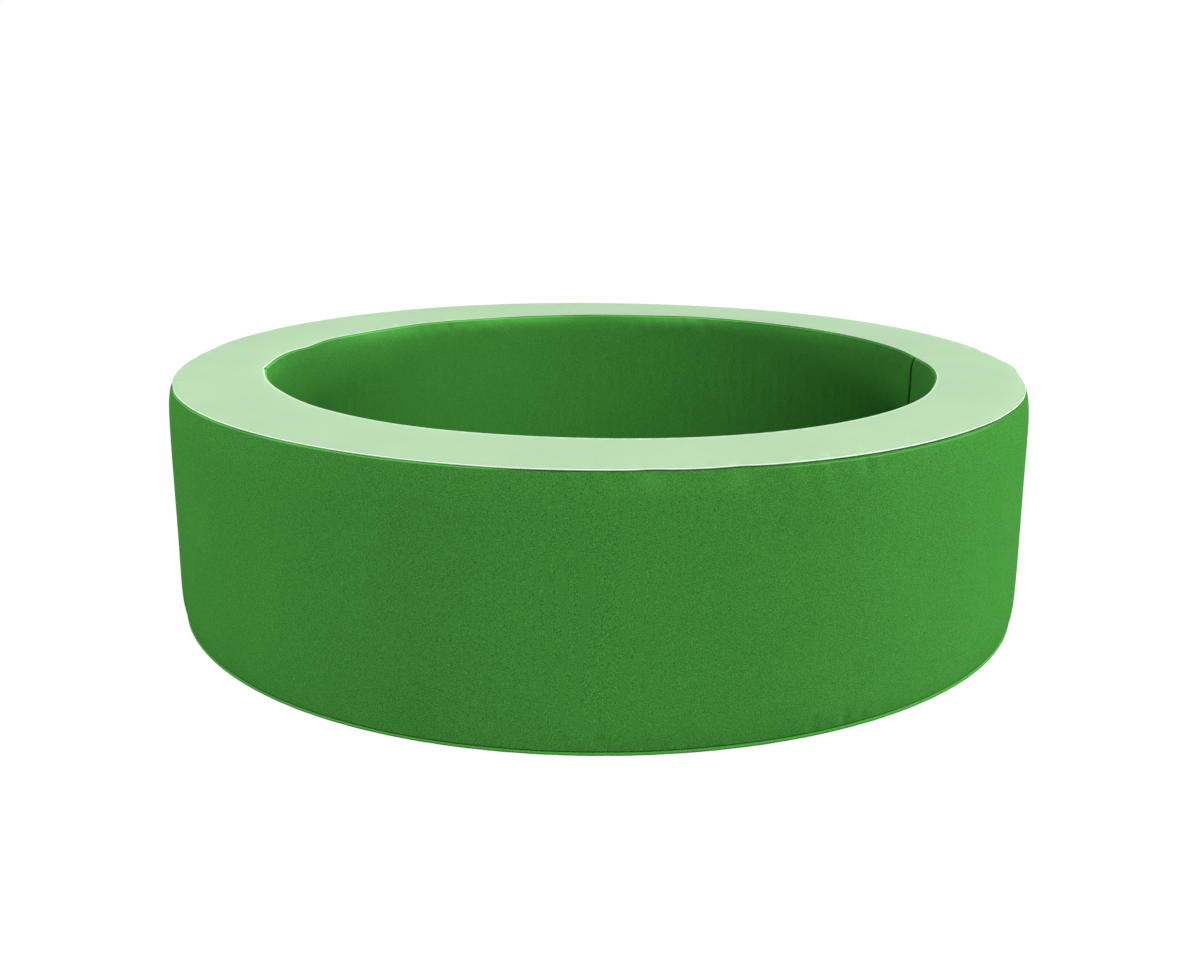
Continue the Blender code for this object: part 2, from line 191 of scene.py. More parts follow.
# A paler line along the base's rolled edge where it turns up round the foot
BASE_PALE = 0.3
BASE_PALE_AT = 0.003
BASE_PALE_WIDTH = 0.0012

# Painted light: lighter spots below the two short pulls of the rim's seam, as (degrees, half width)
LIT_SPOTS = ((-84.6, 0.016), (-75.5, 0.017))
SPOT_DROP = 0.014
SPOT_PALE = 0.07

# Rim: where its edge stands back, the highlights painted along its rolled edges, and the painted shade that darkens
# it away from the viewer
RIM_BACK = 0.0014
RIM_BACK_REACH = 0.008
RIM_BACK_FROM_TO = ((-164, -102), (-34, 4))
RIM_EDGE_HIGHLIGHT = 0.8
RIM_INNER_HIGHLIGHT = 0.25
RIM_HIGHLIGHT_AT = 0.75
RIM_HIGHLIGHT_FROM_TO = (-172, -8)
RIM_HIGHLIGHT_WIDTH = 0.0007
RIM_NEAR_HIGHLIGHT = 0.5
RIM_NEAR_WIDTH = 0.0022
RIM_NEAR_FROM_TO = (-180, -8)
RIM_NEAR_SLANT = 0.235
RIM_SHADE = 0.05
RIM_SHADE_LEAST = 0.35
FLAT_FACE = 0.99

# Inner wall: the band of painted light below the rim at its back, and broad painted shade and light, as (degrees,
# half width, drop, amount)
INNER_LIT_BAND = 0.3
INNER_LIT_BAND_WIDTH = 0.013
INNER_LIT_BAND_SWELL = 0.6
INNER_LIT_BAND_WAVES = 10
INNER_LIT_BAND_PEAK = 72
INNER_LIT_BAND_MIDDLE = 90
INNER_LIT_BAND_SPREAD = 55
INNER_SHADES = ((12, 38, 0.045, -0.45), (166, 13, 0.045, -0.24), (125, 25, 1.0, 0.06))

# Cloth simulation of the ring's cover: its grid, its fabric, and how far each face may move and which way
CLOTH_COLUMNS = 600
CLOTH_STEP = 0.005
CLOTH_COARSE = 0.02
CLOTH_GROWTH = 0.12
CLOTH_BASE = (0.35, 0.65)
CLOTH_FRAMES = 20
CLOTH_QUALITY = 5
CLOTH_PRESSURE = 4.0
CLOTH_TENSION = 15.0
CLOTH_BENDING = 20.0
CLOTH_SEED = 5
CLOTH_ROUGH = 0.00005
CLOTH_SLACK = 0.015
SLACK_REACH = 0.03
SLACK_LEAST = 0.15
INNER_HELD = 0.5
CLOTH_WAYS = {"outer": ("r", 1, 0.0018), "rim": ("z", 1, 0.0009), "inner": ("r", -1, 0.003)}

# Pull of the vertical seams on the walls, the gathers beside them, and the pull of the stitching above the zip
SEAM_PULL = 0.0028
SEAM_PULL_WIDTH = 0.004
SEAM_RIDGE = {"outer": 0.0, "inner": 0.0028}
SEAM_RIDGE_WIDTH = 0.020
SEAM_GATHER_SPACING = 0.03
SEAM_GATHER_DEPTHS = (-0.0004, 0.0004)
SEAM_GATHER_LENGTHS = (0.012, 0.03)
ZIP_STITCH_RISE = 0.0045
ZIP_STITCH_PULL = 0.0004
ZIP_STITCH_WIDTH = 0.0012
ZIP_END_ROUND = 0.006

# Unevenness of the foam under the walls: its waves a turn and a metre up, and the first seeds of the draws
UNEVEN_COUNT = 14
UNEVEN_TURNS = (5, 40)
UNEVEN_UPWARDS = 25
UNEVEN_LEAST = 0.2
UNEVEN_SHARE = 3
WALL_UNEVEN = 0.0004
WALL_SEED = 30
UNEVEN_SEED = 10

COVER_FILL = 0.95
MAT_COVER_FILL = 0.9
FOAM_FILL = 1.0

# Room between the foam and its cover, and the channel behind the zip
FOAM_ROOM = 0.0022
FOAM_CORNER = 0.012
CHANNEL_DEPTH = 0.0075
CHANNEL_HEIGHT = 0.027
FOAM_GLUE_GAP = 0.0004
FOAM_COLUMNS = 60

# Zip: its teeth, its tapes, the room at its ends and the eased edges of its metal pieces
TOOTH_PITCH = 0.0025
TOOTH_WIDTH = 0.0016
TOOTH_REACH = 0.00035
TOOTH_CUT = 0.3
TOOTH_LEVELS = ((-0.5, 1.0), (0.25, 1.0), (0.5, 0.72))
TAPE_THICKNESS = 0.0005
TAPE_TAIL = radians(0.25)
STOP_ROOM = radians(0.3)
TOOTH_ROOM = radians(0.28)
EDGE_ROUND = 0.00022
EDGE_ANGLE = radians(35)

# Stitches, and the ends of a thread as (share of its length, share of its thickness)
STITCH_PITCH = 0.004
STITCH_LENGTH = 0.0029
UPRIGHT_STITCH = 0.0016
STITCH_END_ROOM = radians(0.6)
STITCH_PROUD = 0.1
THREAD = 0.0005
THREAD_ENDS = ((-0.5, 0.45), (-0.38, 1.0), (0.38, 1.0), (0.5, 0.45))

# Unevenness of the mat's top, and the rows of points of its foam
MAT_SEED = 71
MAT_WAVE_COUNT = 16
MAT_WAVES = (8, 30)
MAT_UNEVEN = 0.0012
MAT_UNEVEN_FROM = 0.03
MAT_FOAM_ROWS = 12
MAT_FOAM_EDGE_ROWS = 8

# Patches: their corners, edge, sewn line and nap
PATCH_SEED = 81
PATCH_CORNER = 0.004
PATCH_EDGE = 0.45
PATCH_EDGE_WIDTH = 0.0015
PATCH_STITCH_INSET = 0.0028
PATCH_STITCH_WIDTH = 0.0007
PATCH_STITCH_DEPTH = 0.35
PATCH_STEP = 0.0007
NAP = 0.00022

# Studio: the room and its floor, and each soft light's turn round the ring, height, size and power
ROOM_LIGHT = 0.28
BACKDROP_LIGHT = 1.0
FLOOR_SIZE = 30.0
FLOOR_POINTS = 25
FLOOR_TONE = (0.5, 0.5, 0.5)
FLOOR_SCALE = 1.5
FLOOR_MOTTLE = 0.98
FLOOR_GLOW = 0.92
FLOOR_BRIGHT = 1.05
SUNS = (
    ("front_light", -71, 32, 50, 2.2),
    ("fill_light", -30, 38, 40, 0.3),
    ("right_light", 20, 1, 15, 5.45),
    ("left_light", 160, 1, 13, 4.1),
    ("top_light", 0, 89, 60, 1.35),
)


def arc(centre, radius, first, last, steps=6):
    """Points of an arc, with its angles in degrees from straight outwards."""
    return [
        (centre[0] + radius * cos(radians(turn)), centre[1] + radius * sin(radians(turn)))
        for turn in np.linspace(first, last, steps + 1)
    ]


def spaced(length, places, coarse, fine=FINE_STEP, growth=STEP_GROWTH):
    """Distances from 0 to length, closer together near the given places."""
    marks = [0.0]
    while marks[-1] < length:
        nearest = min(abs(marks[-1] - place) for place in places)
        marks.append(marks[-1] + min(coarse, fine + growth * nearest))
    return np.array(marks) * length / marks[-1]


def straight(start, end, coarse=ROW_STEP):
    """Points between two ends, without the ends, closer together near them."""
    start, end = np.array(start), np.array(end)
    length = np.hypot(*(end - start))
    shares = spaced(length, (0, length), coarse)[1:-1] / length
    return [tuple(start + (end - start) * share) for share in shares]


def smooth(share):
    """0 to 1, rising gently at first and at the end."""
    share = np.clip(share, 0, 1)
    return share * share * (3 - 2 * share)


def bell(share):
    """1 at nothing, falling away on both sides."""
    return np.exp(-(share**2))


def swept(radii, angles, heights):
    """Points at these radii, angles and heights, each of them a grid, a row, a column or a list."""
    x, y = radii * np.cos(angles), radii * np.sin(angles)
    return np.stack([x, y, heights + 0 * x], axis=-1)


def hem(edge, bend, height, way=-1):
    """The two hidden points of a turned-in edge, tip first; way is 1 where they lie further out than the edge."""
    return [(edge + way * TURNED_IN, height), (edge + way * (TURNED_IN + bend) / 2, height)]


class Section:
    """Outline of a panel from one seam to the other, as (radius, height) with the fabric's face on its right.

    The first and last `hidden` points are the turned-in edges.
    """

    def __init__(self, points, hidden=2):
        self.points = np.array(points)
        self.r, self.z = self.points.T
        runs = np.gradient(self.points, axis=0)
        runs /= np.hypot(runs[:, 0], runs[:, 1])[:, None]
        self.face_r, self.face_z = runs[:, 1], -runs[:, 0]
        steps = np.hypot(*np.diff(self.points, axis=0).T)
        length = np.concatenate([[0], np.cumsum(steps)])
        self.from_first = np.clip(length - length[hidden], 0, None)
        self.from_last = np.clip(length[-1 - hidden] - length, 0, None)
        self.share = self.from_first / (self.from_first + self.from_last)


def wall_section(radius, side, low, high):
    """Wall of a cover, with its edges turned in; side is 1 where it faces outwards and -1 where it faces in."""
    tip, bend = radius - TURNED_IN, radius - FOLD
    upwards = [
        (tip, low),
        ((tip + bend) / 2, low),
        *arc((bend, low + FOLD), FOLD, -90, 0),
        *straight((radius, low + FOLD), (radius, high - FOLD)),
        *arc((bend, high - FOLD), FOLD, 0, 90),
        ((tip + bend) / 2, high),
        (tip, high),
    ]
    if side > 0:
        return Section(upwards)
    mirrored = [(2 * radius - r, z) for r, z in upwards]
    return Section(mirrored[::-1])


def rim_section():
    """Top of the ring, from its outer seam over both rolled edges to its inner seam."""
    roll = RIM_ROLL
    middle = RIM_UNDER + roll
    inner = INNER + RIM_SET_BACK
    crown_from, crown_to = OUTER - roll, inner + roll
    crown = [
        (r, TOP - RIM_CROWN + RIM_CROWN * 4 * share * (1 - share))
        for r, _ in straight((crown_from, 0), (crown_to, 0))
        for share in [(crown_from - r) / (crown_from - crown_to)]
    ]
    return Section(
        [
            *hem(OUTER, roll, RIM_UNDER),
            *arc((crown_from, middle), roll, -90, 90, ROLL_STEPS),
            *crown,
            *arc((crown_to, middle), roll, 90, 270, ROLL_STEPS),
            *hem(inner, roll, RIM_UNDER, 1)[::-1],
        ]
    )


def base_section():
    """Underside of the ring, from its inner seam round both rolled edges to its outer seam."""
    roll = FOOT_SEAM / 2
    return Section(
        [
            *hem(INNER, roll, FOOT_SEAM, 1),
            *arc((INNER + roll, roll), roll, 90, 270, ROLL_STEPS),
            *straight((INNER + roll, 0), (OUTER - roll, 0)),
            *arc((OUTER - roll, roll), roll, -90, 90, ROLL_STEPS),
            *hem(OUTER, roll, FOOT_SEAM)[::-1],
        ]
    )


def turned(angles, place):
    """Angles counted from a place in degrees, from minus to plus half a turn."""
    return (angles - radians(place) + pi) % tau - pi


def gathered(marks, along, away, period=None):
    """Height of the gathers that a seam pulls into the fabric, from the distances along and away from it."""
    field = np.zeros(np.broadcast(along, away).shape)
    rise = GATHER_START + (1 - GATHER_START) * (1 - bell(away / GATHER_RISE))
    for place, length, width, depth, slant in marks:
        offset = along - place
        if period:
            offset = (offset + period / 2) % period - period / 2
        across = (offset - slant * away) / (width * (1 + away / length))
        field += depth * rise * (1 - across**2) * np.exp(-(across**2) / 2 - (away / length) ** 2)
    return field


def random_marks(draw, low, high, spacing, depths, lengths=GATHER_LENGTHS):
    """Gathers at uneven spacing between two places along a seam."""
    marks = []
    place = low + draw.uniform(0, spacing)
    while place < high:
        length, width = draw.uniform(*lengths), draw.uniform(*GATHER_WIDTHS)
        marks.append((place, length, width, draw.uniform(*depths), draw.uniform(-GATHER_SLANT, GATHER_SLANT)))
        place += spacing * draw.uniform(*GATHER_SPREAD)
    return marks


class SeamLine:
    """A seam round the ring: how it strays from its circle, and the gathers beside it.

    drawn is how far its stitches pull it off the line of the faces beside it, outwards from the ring's axis, and
    shoulder is how far from it they still do. Strays are (waves a turn, size, phase in degrees); notches are
    (degrees, half width, outwards, upwards); tucks are the same, but pointed; pulls are (degrees, half width in
    degrees, further drawn); bunches are stretches of deeper gathers, in degrees.
    """

    def __init__(self, radius, seed, drawn=0.0, shoulder=SHOULDER, bunch_depth=BUNCH_DEPTH, **shape):
        self.radius, self.drawn, self.shoulder = radius, drawn, shoulder
        self.out, self.up, self.notches, self.tucks, self.pulls, self.bunches = (
            shape.get(kind, ()) for kind in ("out", "up", "notches", "tucks", "pulls", "bunches")
        )
        draw = np.random.default_rng(seed)
        self.marks = random_marks(draw, 0, tau * radius, GATHER_SPACING, (-GATHER_DEPTH, GATHER_DEPTH))
        for first, last in self.bunches:
            low, high = radians(first) * radius, radians(last) * radius
            depths = BUNCH_LEAST * bunch_depth, bunch_depth
            self.marks += random_marks(draw, low, high, BUNCH_SPACING, depths, BUNCH_LENGTHS)

    def stray(self, angles):
        """How far the seam strays outwards and upwards from its circle, at each angle."""
        strays = [
            sum((size * np.cos(waves * angles - radians(phase)) for waves, size, phase in swings), 0 * angles)
            for swings in (self.out, self.up)
        ]
        for dents, power in ((self.notches, 2), (self.tucks, 1)):
            for place, half_width, *sizes in dents:
                away = np.abs(turned(angles, place)) * self.radius / half_width
                strays = [stray + size * np.exp(-(away**power)) for stray, size in zip(strays, sizes)]
        return strays

    def draw_in(self, angles, away):
        """How far the seam pulls the fabric off its line, at each angle and distance from the seam."""
        amount = self.drawn + 0 * angles
        for place, half_width, further in self.pulls:
            amount = amount + further * bell(turned(angles, place) / radians(half_width))
        return amount * np.exp(-((np.clip(away, 0, None) / self.shoulder) ** SHOULDER_POWER))

    def gathers(self, angles, away):
        return gathered(self.marks, angles * self.radius, away, tau * self.radius)


class Columns:
    """Where the columns of a panel lie.

    Each has its angle, how far it is set in, its distance from the nearest vertical seam, and the tilt of its
    face towards the seam, in radians.
    """

    def __init__(self, angles, set_in, from_seam, tilt, around):
        self.angles, self.set_in, self.from_seam, self.tilt, self.around = angles, set_in, from_seam, tilt, around


def whole_turn(radius):
    """Columns all the way round, closer together at the vertical seams."""
    length = tau * radius
    places = (0, length / 2, length)
    along = spaced(length, places, COLUMN_STEP)[:-1]
    away = np.min([np.abs(along - place) for place in places], axis=0)
    return Columns(SEAM_ANGLE + along / radius, 0 * along, away, 0 * along, True)


def half_turn(radius, half, extra_angles=()):
    """Columns of one half of a wall, with a flap turned in at each end."""
    length = pi * radius - VERTICAL_GROOVE
    bend = FLAP_FOLD
    turns = np.radians([90, 90, *np.linspace(90, 0, 7)])
    end_along = bend * (1 - np.sin(turns))
    end_in = bend * (1 - np.cos(turns))
    end_in[:2] = TURNED_IN, (TURNED_IN + bend) / 2
    start = SEAM_ANGLE + half * pi
    places = [0, length - 2 * bend, *((angle - start) * radius - bend for angle in extra_angles)]
    middle = bend + spaced(length - 2 * bend, places, COLUMN_STEP)[1:-1]
    along = np.concatenate([end_along, middle, length - end_along[::-1]])
    set_in = np.concatenate([end_in, 0 * middle, end_in[::-1]])
    tilt = np.concatenate([turns, 0 * middle, -turns[::-1]])
    angles = start + (along + VERTICAL_GROOVE / 2) / radius
    return Columns(angles, set_in, np.minimum(along, length - along), tilt, False)


def meshed(name, points, *faces):
    """Object with these points, whose faces are rows of point numbers, one array for each number of corners."""
    points = np.asarray(points, dtype=float).reshape(-1, 3)
    corners = np.concatenate([face.ravel() for face in faces]).astype(np.int32)
    sizes = np.concatenate([np.full(len(face), face.shape[1]) for face in faces])
    starts = np.concatenate([[0], np.cumsum(sizes)[:-1]]).astype(np.int32)
    data = bpy.data.meshes.new(name)
    data.vertices.add(len(points))
    data.vertices.foreach_set("co", points.ravel())
    data.loops.add(len(corners))
    data.polygons.add(len(sizes))
    data.polygons.foreach_set("loop_start", starts)
    data.polygons.foreach_set("vertices", corners)
    data.update(calc_edges=True)
    data.validate()
    data.shade_smooth()
    data.set_sharp_from_angle(angle=SHARP_ANGLE)
    thing = bpy.data.objects.new(name, data)
    bpy.context.scene.collection.objects.link(thing)
    return thing


def quads(grid, row_wrap=False, column_wrap=False):
    """Faces of a grid of point numbers.

    They are wound so that rows going up a wall and columns going round it face outwards.
    """
    if row_wrap:
        grid = np.concatenate([grid, grid[:1]])
    if column_wrap:
        grid = np.concatenate([grid, grid[:, :1]], axis=1)
    return np.stack([grid[:-1, :-1], grid[:-1, 1:], grid[1:, 1:], grid[1:, :-1]], axis=-1).reshape(-1, 4)


def toned(thing, tone):
    """Stores how much paler than its fabric each point of a piece is, or darker where it is less than nothing; it
    carries the highlights and shade painted on the covers.
    """
    layer = thing.data.attributes.new("tone", "FLOAT", "POINT")
    layer.data.foreach_set("value", np.concatenate([np.ravel(tone), np.ravel(tone)]).astype(np.float32))
    return thing


def closed_sheet(name, face, back, around):
    """Thin closed sheet from the grids of points of its face and its back."""
    rows, columns = face.shape[:2]
    numbers = np.arange(2 * rows * columns).reshape(2 * rows, columns)
    loop = np.concatenate([numbers[:rows], numbers[rows:][::-1]])
    faces = [quads(loop, row_wrap=True, column_wrap=around)]
    if not around:
        near, far = numbers[:rows], numbers[rows:]
        faces.append(np.stack([near[:-1, 0], near[1:, 0], far[1:, 0], far[:-1, 0]], axis=-1))
        faces.append(np.stack([near[:-1, -1], far[:-1, -1], far[1:, -1], near[1:, -1]], axis=-1))
    return meshed(name, np.concatenate([face, back]), *faces)


def panel(name, section, columns, lines, side=0, lift=0.0, rise=0.0, spread=0.0, tone=0.0, pucker=1.0):
    """Sewn panel: a section swept round the ring, strayed and gathered at its two seams.

    lift moves its face outwards, rise moves it up, spread moves it away from the ring's axis and tone paints light
    and shade on it, all as grids of rows by columns. pucker is how much it takes of the gathers of its seams.
    """
    first_line, last_line = lines
    angles = columns.angles[None, :]
    share = smooth(section.share)[:, None]
    first_out, first_up = first_line.stray(angles)
    last_out, last_up = last_line.stray(angles)
    out = first_out + (last_out - first_out) * share + spread
    out = out + first_line.draw_in(angles, section.from_first[:, None])
    out = out + last_line.draw_in(angles, section.from_last[:, None])
    up = first_up + (last_up - first_up) * share + rise
    lift = lift + pucker * first_line.gathers(angles, section.from_first[:, None])
    lift = lift + pucker * last_line.gathers(angles, section.from_last[:, None])
    face_r, face_z = section.face_r[:, None], section.face_z[:, None]
    sheet = []
    for depth in (0.0, THICKNESS):
        through = depth * np.maximum(np.cos(columns.tilt)[None, :], np.abs(face_z))
        r = section.r[:, None] + face_r * (lift - through) + out - side * columns.set_in[None, :]
        z = np.maximum(section.z[:, None] + face_z * (lift - through) + up, depth)
        turn = angles + depth * np.sin(columns.tilt)[None, :] / section.r[:, None]
        sheet.append(swept(r, turn, z))
    return toned(closed_sheet(name, *sheet, around=columns.around), tone + 0 * sheet[0][..., 0])


def disc_layout(radii, count):
    """Points of a disc and its faces: rings of `count` columns from the edge inwards, then a grid inside the last.

    Returns the angles and radii of the points, and the faces.
    """
    side = count // 4
    rings = len(radii)
    steps = np.linspace(-1, 1, side + 1)
    a, b = np.meshgrid(steps, steps, indexing="ij")
    wide = np.abs(a) >= np.abs(b)
    ahead = np.where(wide, np.divide(b, a, out=np.zeros_like(a), where=a != 0), 0)
    aside = np.where(wide, 0, np.divide(a, b, out=np.zeros_like(a), where=b != 0))
    reach_share = np.where(wide, a, b)
    turn = np.where(wide, pi / 4 * ahead, pi / 2 - pi / 4 * aside)
    x, y = reach_share * np.cos(turn), reach_share * np.sin(turn)
    numbers = np.full((side + 1, side + 1), -1)
    edge = [(side, j) for j in range(side)] + [(side - i, side) for i in range(side)]
    edge += [(0, side - j) for j in range(side)] + [(i, 0) for i in range(side)]
    last_ring = (rings - 1) * count
    for place, (i, j) in enumerate(edge):
        numbers[i, j] = last_ring + place
    inside = numbers < 0
    numbers[inside] = rings * count + np.arange(inside.sum())
    columns = -pi / 4 + np.arange(count) * tau / count
    angles = np.concatenate([np.tile(columns, rings), np.arctan2(y[inside], x[inside])])
    reaches = np.concatenate([np.repeat(radii, count), np.hypot(x[inside], y[inside]) * radii[-1]])
    ring_numbers = np.arange(rings * count).reshape(rings, count)
    faces = np.concatenate([quads(ring_numbers, column_wrap=True), quads(numbers)[:, ::-1]])
    return angles, reaches, faces


def closed_disc(name, upper, lower, faces, count):
    """Closed disc from two layers of points that share a layout, joined along their outermost ring."""
    offset = len(upper)
    edge = np.stack([offset + np.arange(count), np.arange(count)])
    joined = [faces, faces[:, ::-1] + offset, quads(edge, column_wrap=True)]
    return meshed(name, np.concatenate([upper, lower]), np.concatenate(joined))


def disc_panel(name, section, line, down=False, lift=None):
    """Round panel: a section from its seam inwards, then a flat middle; down where its face is the underside."""
    count, rows = MAT_COLUMNS, len(section.r)
    angles, radii, faces = disc_layout(section.r, count)
    inside = len(radii) - rows * count
    facing = -1 if down else 1
    face_r = facing * np.concatenate([np.repeat(section.face_r, count), np.zeros(inside)])
    face_z = facing * np.concatenate([np.repeat(section.face_z, count), np.ones(inside)])
    z = np.concatenate([np.repeat(section.z, count), np.full(inside, section.z[-1])])
    away = section.from_first[-1] + section.r[-1] - radii
    away[: rows * count] = np.repeat(section.from_first, count)
    out, up = line.stray(angles)
    near = 1 - smooth(away / STRAY_REACH)
    moved = line.gathers(angles, away) * (away < GATHER_LIMIT)
    if lift is not None:
        moved = moved + lift(angles, radii, away)
    layers = []
    for depth in (0.0, THICKNESS):
        r = radii + face_r * (moved - depth) + out * near
        height = np.maximum(z + face_z * (moved - depth) + up * near, depth)
        layers.append(swept(r, angles, height))
    # Highlight painted along the fold at the seam
    thing = toned(closed_disc(name, *layers, faces, count), FOLD_HIGHLIGHT * near_fold(away, FOLD))
    if down:
        thing.data.flip_normals()
    return thing


def strip(name, points, angles):
    """Tape swept along part of a turn, from points through its face."""
    section = Section(points, hidden=0)
    sheet = []
    for depth in (0.0, TAPE_THICKNESS):
        r = (section.r - section.face_r * depth)[:, None]
        z = (section.z - section.face_z * depth)[:, None]
        sheet.append(swept(r, angles, z))
    return closed_sheet(name, *sheet, around=False)


def copied(name, shape, faces, places, angles):
    """One object of many copies of a small shape, whose points are (outwards, along, up) from each place."""
    outwards, along, up = np.array(shape).T
    radii, heights = np.array(places).T
    turn = np.array(angles)[:, None]
    r = radii[:, None] + outwards
    x = r * np.cos(turn) - along * np.sin(turn)
    y = r * np.sin(turn) + along * np.cos(turn)
    z = heights[:, None] + up
    points = np.stack([x, y, z], axis=-1)
    steps = (np.arange(len(turn)) * len(shape))[:, None, None]
    spread = [(np.array(group)[None] + steps).reshape(-1, len(group[0])) for group in faces]
    return meshed(name, points, *spread)


def rod(length, thickness, upright=False, sides=6):
    """Short round rod with blunt ends, lying along the ring or standing up: its points and its faces."""
    turns = [tau * side / sides for side in range(sides)]
    ring = [(cos(turn) * thickness / 2, sin(turn) * thickness / 2) for turn in turns]
    points = [(a * wide, length * share, b * wide) for share, wide in THREAD_ENDS for a, b in ring]
    if upright:
        points = [(outwards, -up, along) for outwards, along, up in points]
    numbers = np.arange(len(points)).reshape(-1, sides)
    ends = [list(numbers[0]), list(numbers[-1][::-1])]
    return points, [quads(numbers, column_wrap=True)[:, ::-1], ends]


def tooth(length, width, depth):
    """Moulded zip tooth, with its corners cut and its outer face drawn in: its points and its faces."""
    near = 1 - TOOTH_CUT
    corner = [(1, near), (near, 1), (-near, 1), (-1, near), (-1, -near), (-near, -1), (near, -1), (1, -near)]
    points = [
        (depth * level, a * width / 2 * wide, b * length / 2 * wide)
        for level, wide in TOOTH_LEVELS
        for a, b in corner
    ]
    numbers = np.arange(len(points)).reshape(-1, len(corner))
    ends = [list(numbers[0][::-1]), list(numbers[-1])]
    return points, [quads(numbers, column_wrap=True), ends]


def placed(thing, material, slot, body, *nodes, fill=None):
    """Gives a piece its material, attaches it to the body it rides on and hides the frame's pieces it stands for.
    """
    thing.data.materials.clear()
    thing.data.materials.append(material)
    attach(thing, body)
    if nodes:
        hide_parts(*nodes)
    return thing


def node_in(tree, kind, inputs=(), **settings):
    """Adds a node to a tree; its inputs are given as values, or as the sockets that lead to them."""
    node = tree.nodes.new(kind)
    for name, value in settings.items():
        setattr(node, name, value)
    for socket, value in dict(inputs).items():
        if isinstance(value, bpy.types.NodeSocket):
            tree.links.new(value, node.inputs[socket])
        else:
            node.inputs[socket].default_value = value
    return node


class Finish:
    """A material, made node by node around its Principled shader."""

    def __init__(self, name, **sockets):
        self.material = bpy.data.materials.new(name)
        self.material.use_nodes = True
        self.tree = self.material.node_tree
        self.shader = self.tree.nodes["Principled BSDF"]
        for socket, value in sockets.items():
            self.shader.inputs[socket.replace("_", " ")].default_value = value
        self.place = self.add("ShaderNodeTexCoord").outputs["Object"]

    def add(self, kind, inputs=(), **settings):
        return node_in(self.tree, kind, inputs, **settings)

    def maths(self, operation, first, second=0.0):
        return self.add("ShaderNodeMath", {0: first, 1: second}, operation=operation).outputs[0]

    def noise(self, scale, detail=3.0, place=None):
        inputs = {"Vector": place or self.place, "Scale": scale, "Detail": detail}
        return self.add("ShaderNodeTexNoise", inputs).outputs["Fac"]

    def cells(self, scale, feature="F1"):
        inputs = {"Vector": self.place, "Scale": scale}
        return self.add("ShaderNodeTexVoronoi", inputs, feature=feature).outputs["Distance"]

    def between(self, value, low, high, from_low=0.0, from_high=1.0):
        inputs = {0: value, 1: from_low, 2: from_high, 3: low, 4: high}
        return self.add("ShaderNodeMapRange", inputs).outputs[0]

    def shades(self, factor, *stops):
        ramp = self.add("ShaderNodeValToRGB", {"Fac": factor})
        elements = ramp.color_ramp.elements
        while len(elements) < len(stops):
            elements.new(1.0)
        for element, (place, colour) in zip(elements, stops):
            element.position = place
            element.color = (*colour, 1.0)
        return ramp.outputs["Color"]

    def scaled(self, colour, amount):
        """A colour made lighter or darker by an amount that varies."""
        return self.add("ShaderNodeVectorMath", {0: colour, "Scale": amount}, operation="SCALE").outputs[0]

    def mixed(self, factor, varied, plain):
        """A colour that varies, mixed with a plain one."""
        inputs = {0: factor, 6: varied, 7: (*plain, 1.0)}
        return self.add("ShaderNodeMix", inputs, data_type="RGBA").outputs[2]

    def angle(self):
        """Angle round the ring, in radians, and the height, from the object's own coordinates."""
        split = self.add("ShaderNodeSeparateXYZ", {0: self.place}).outputs
        return self.maths("ARCTAN2", split["Y"], split["X"]), split["Z"]

    def done(self, colour, roughness, height, distance, strength=1.0):
        """Leads a colour, a roughness and a bump to the shader, and returns the material."""
        bump = self.add("ShaderNodeBump", {"Height": height, "Distance": distance, "Strength": strength})
        for value, socket in ((colour, "Base Color"), (roughness, "Roughness"), (bump.outputs["Normal"], "Normal")):
            self.tree.links.new(value, self.shader.inputs[socket])
        return self.material


def tinted(colour, amount):
    return tuple(channel * amount for channel in colour)


def vinyl(name, colour, pale, mottle):
    """Coated fabric: a fine pebbled grain with slight mottling and uneven sheen, with the light and shade painted
    through its tone.
    """
    finish = Finish(
        name, Specular_IOR_Level=0.0, Sheen_Weight=SHEEN_WEIGHT, Sheen_Roughness=0.55, Sheen_Tint=(*pale, 1.0)
    )
    grain = finish.noise(GRAIN_SCALE, 2.0)
    pebbles = finish.cells(PEBBLE_SCALE, "SMOOTH_F1")
    creases = finish.noise(PEBBLE_SCALE / 3, 4.0)
    broad = finish.between(finish.noise(BROAD_SCALE, 2.0), -BROAD_MOTTLE, BROAD_MOTTLE, 0.3, 0.7)
    light = finish.maths("ADD", finish.between(grain, 1 - mottle, 1 + mottle, 0.3, 0.7), broad)
    fabric = finish.scaled(colour, light)
    # The tone mixes the fabric towards its paler green where highlights are painted and towards its darkest where
    # shade is painted
    tone = finish.add("ShaderNodeAttribute", attribute_name="tone").outputs["Fac"]
    lightened = finish.mixed(finish.between(tone, 0.0, 1.0), fabric, pale)
    return finish.done(
        finish.mixed(finish.between(tone, 0.0, 1.0, 0.0, -1.0), lightened, tinted(colour, DARKEST)),
        finish.between(creases, *VINYL_ROUGHNESS, 0.3, 0.7),
        finish.maths("ADD", pebbles, finish.maths("MULTIPLY", creases, CREASE_SHARE)),
        distance=GRAIN_DEPTH,
        strength=0.5,
    )


def foam_finish():
    """Open-cell foam: pale, matt and pitted."""
    finish = Finish("open cell foam", Specular_IOR_Level=0.2)
    pores = finish.cells(420.0)
    stain = finish.noise(6.0)
    colour = finish.shades(stain, (0.3, (0.72, 0.68, 0.56)), (0.7, (0.84, 0.82, 0.74)))
    return finish.done(colour, finish.between(pores, 0.85, 1.0), pores, distance=0.001, strength=0.8)


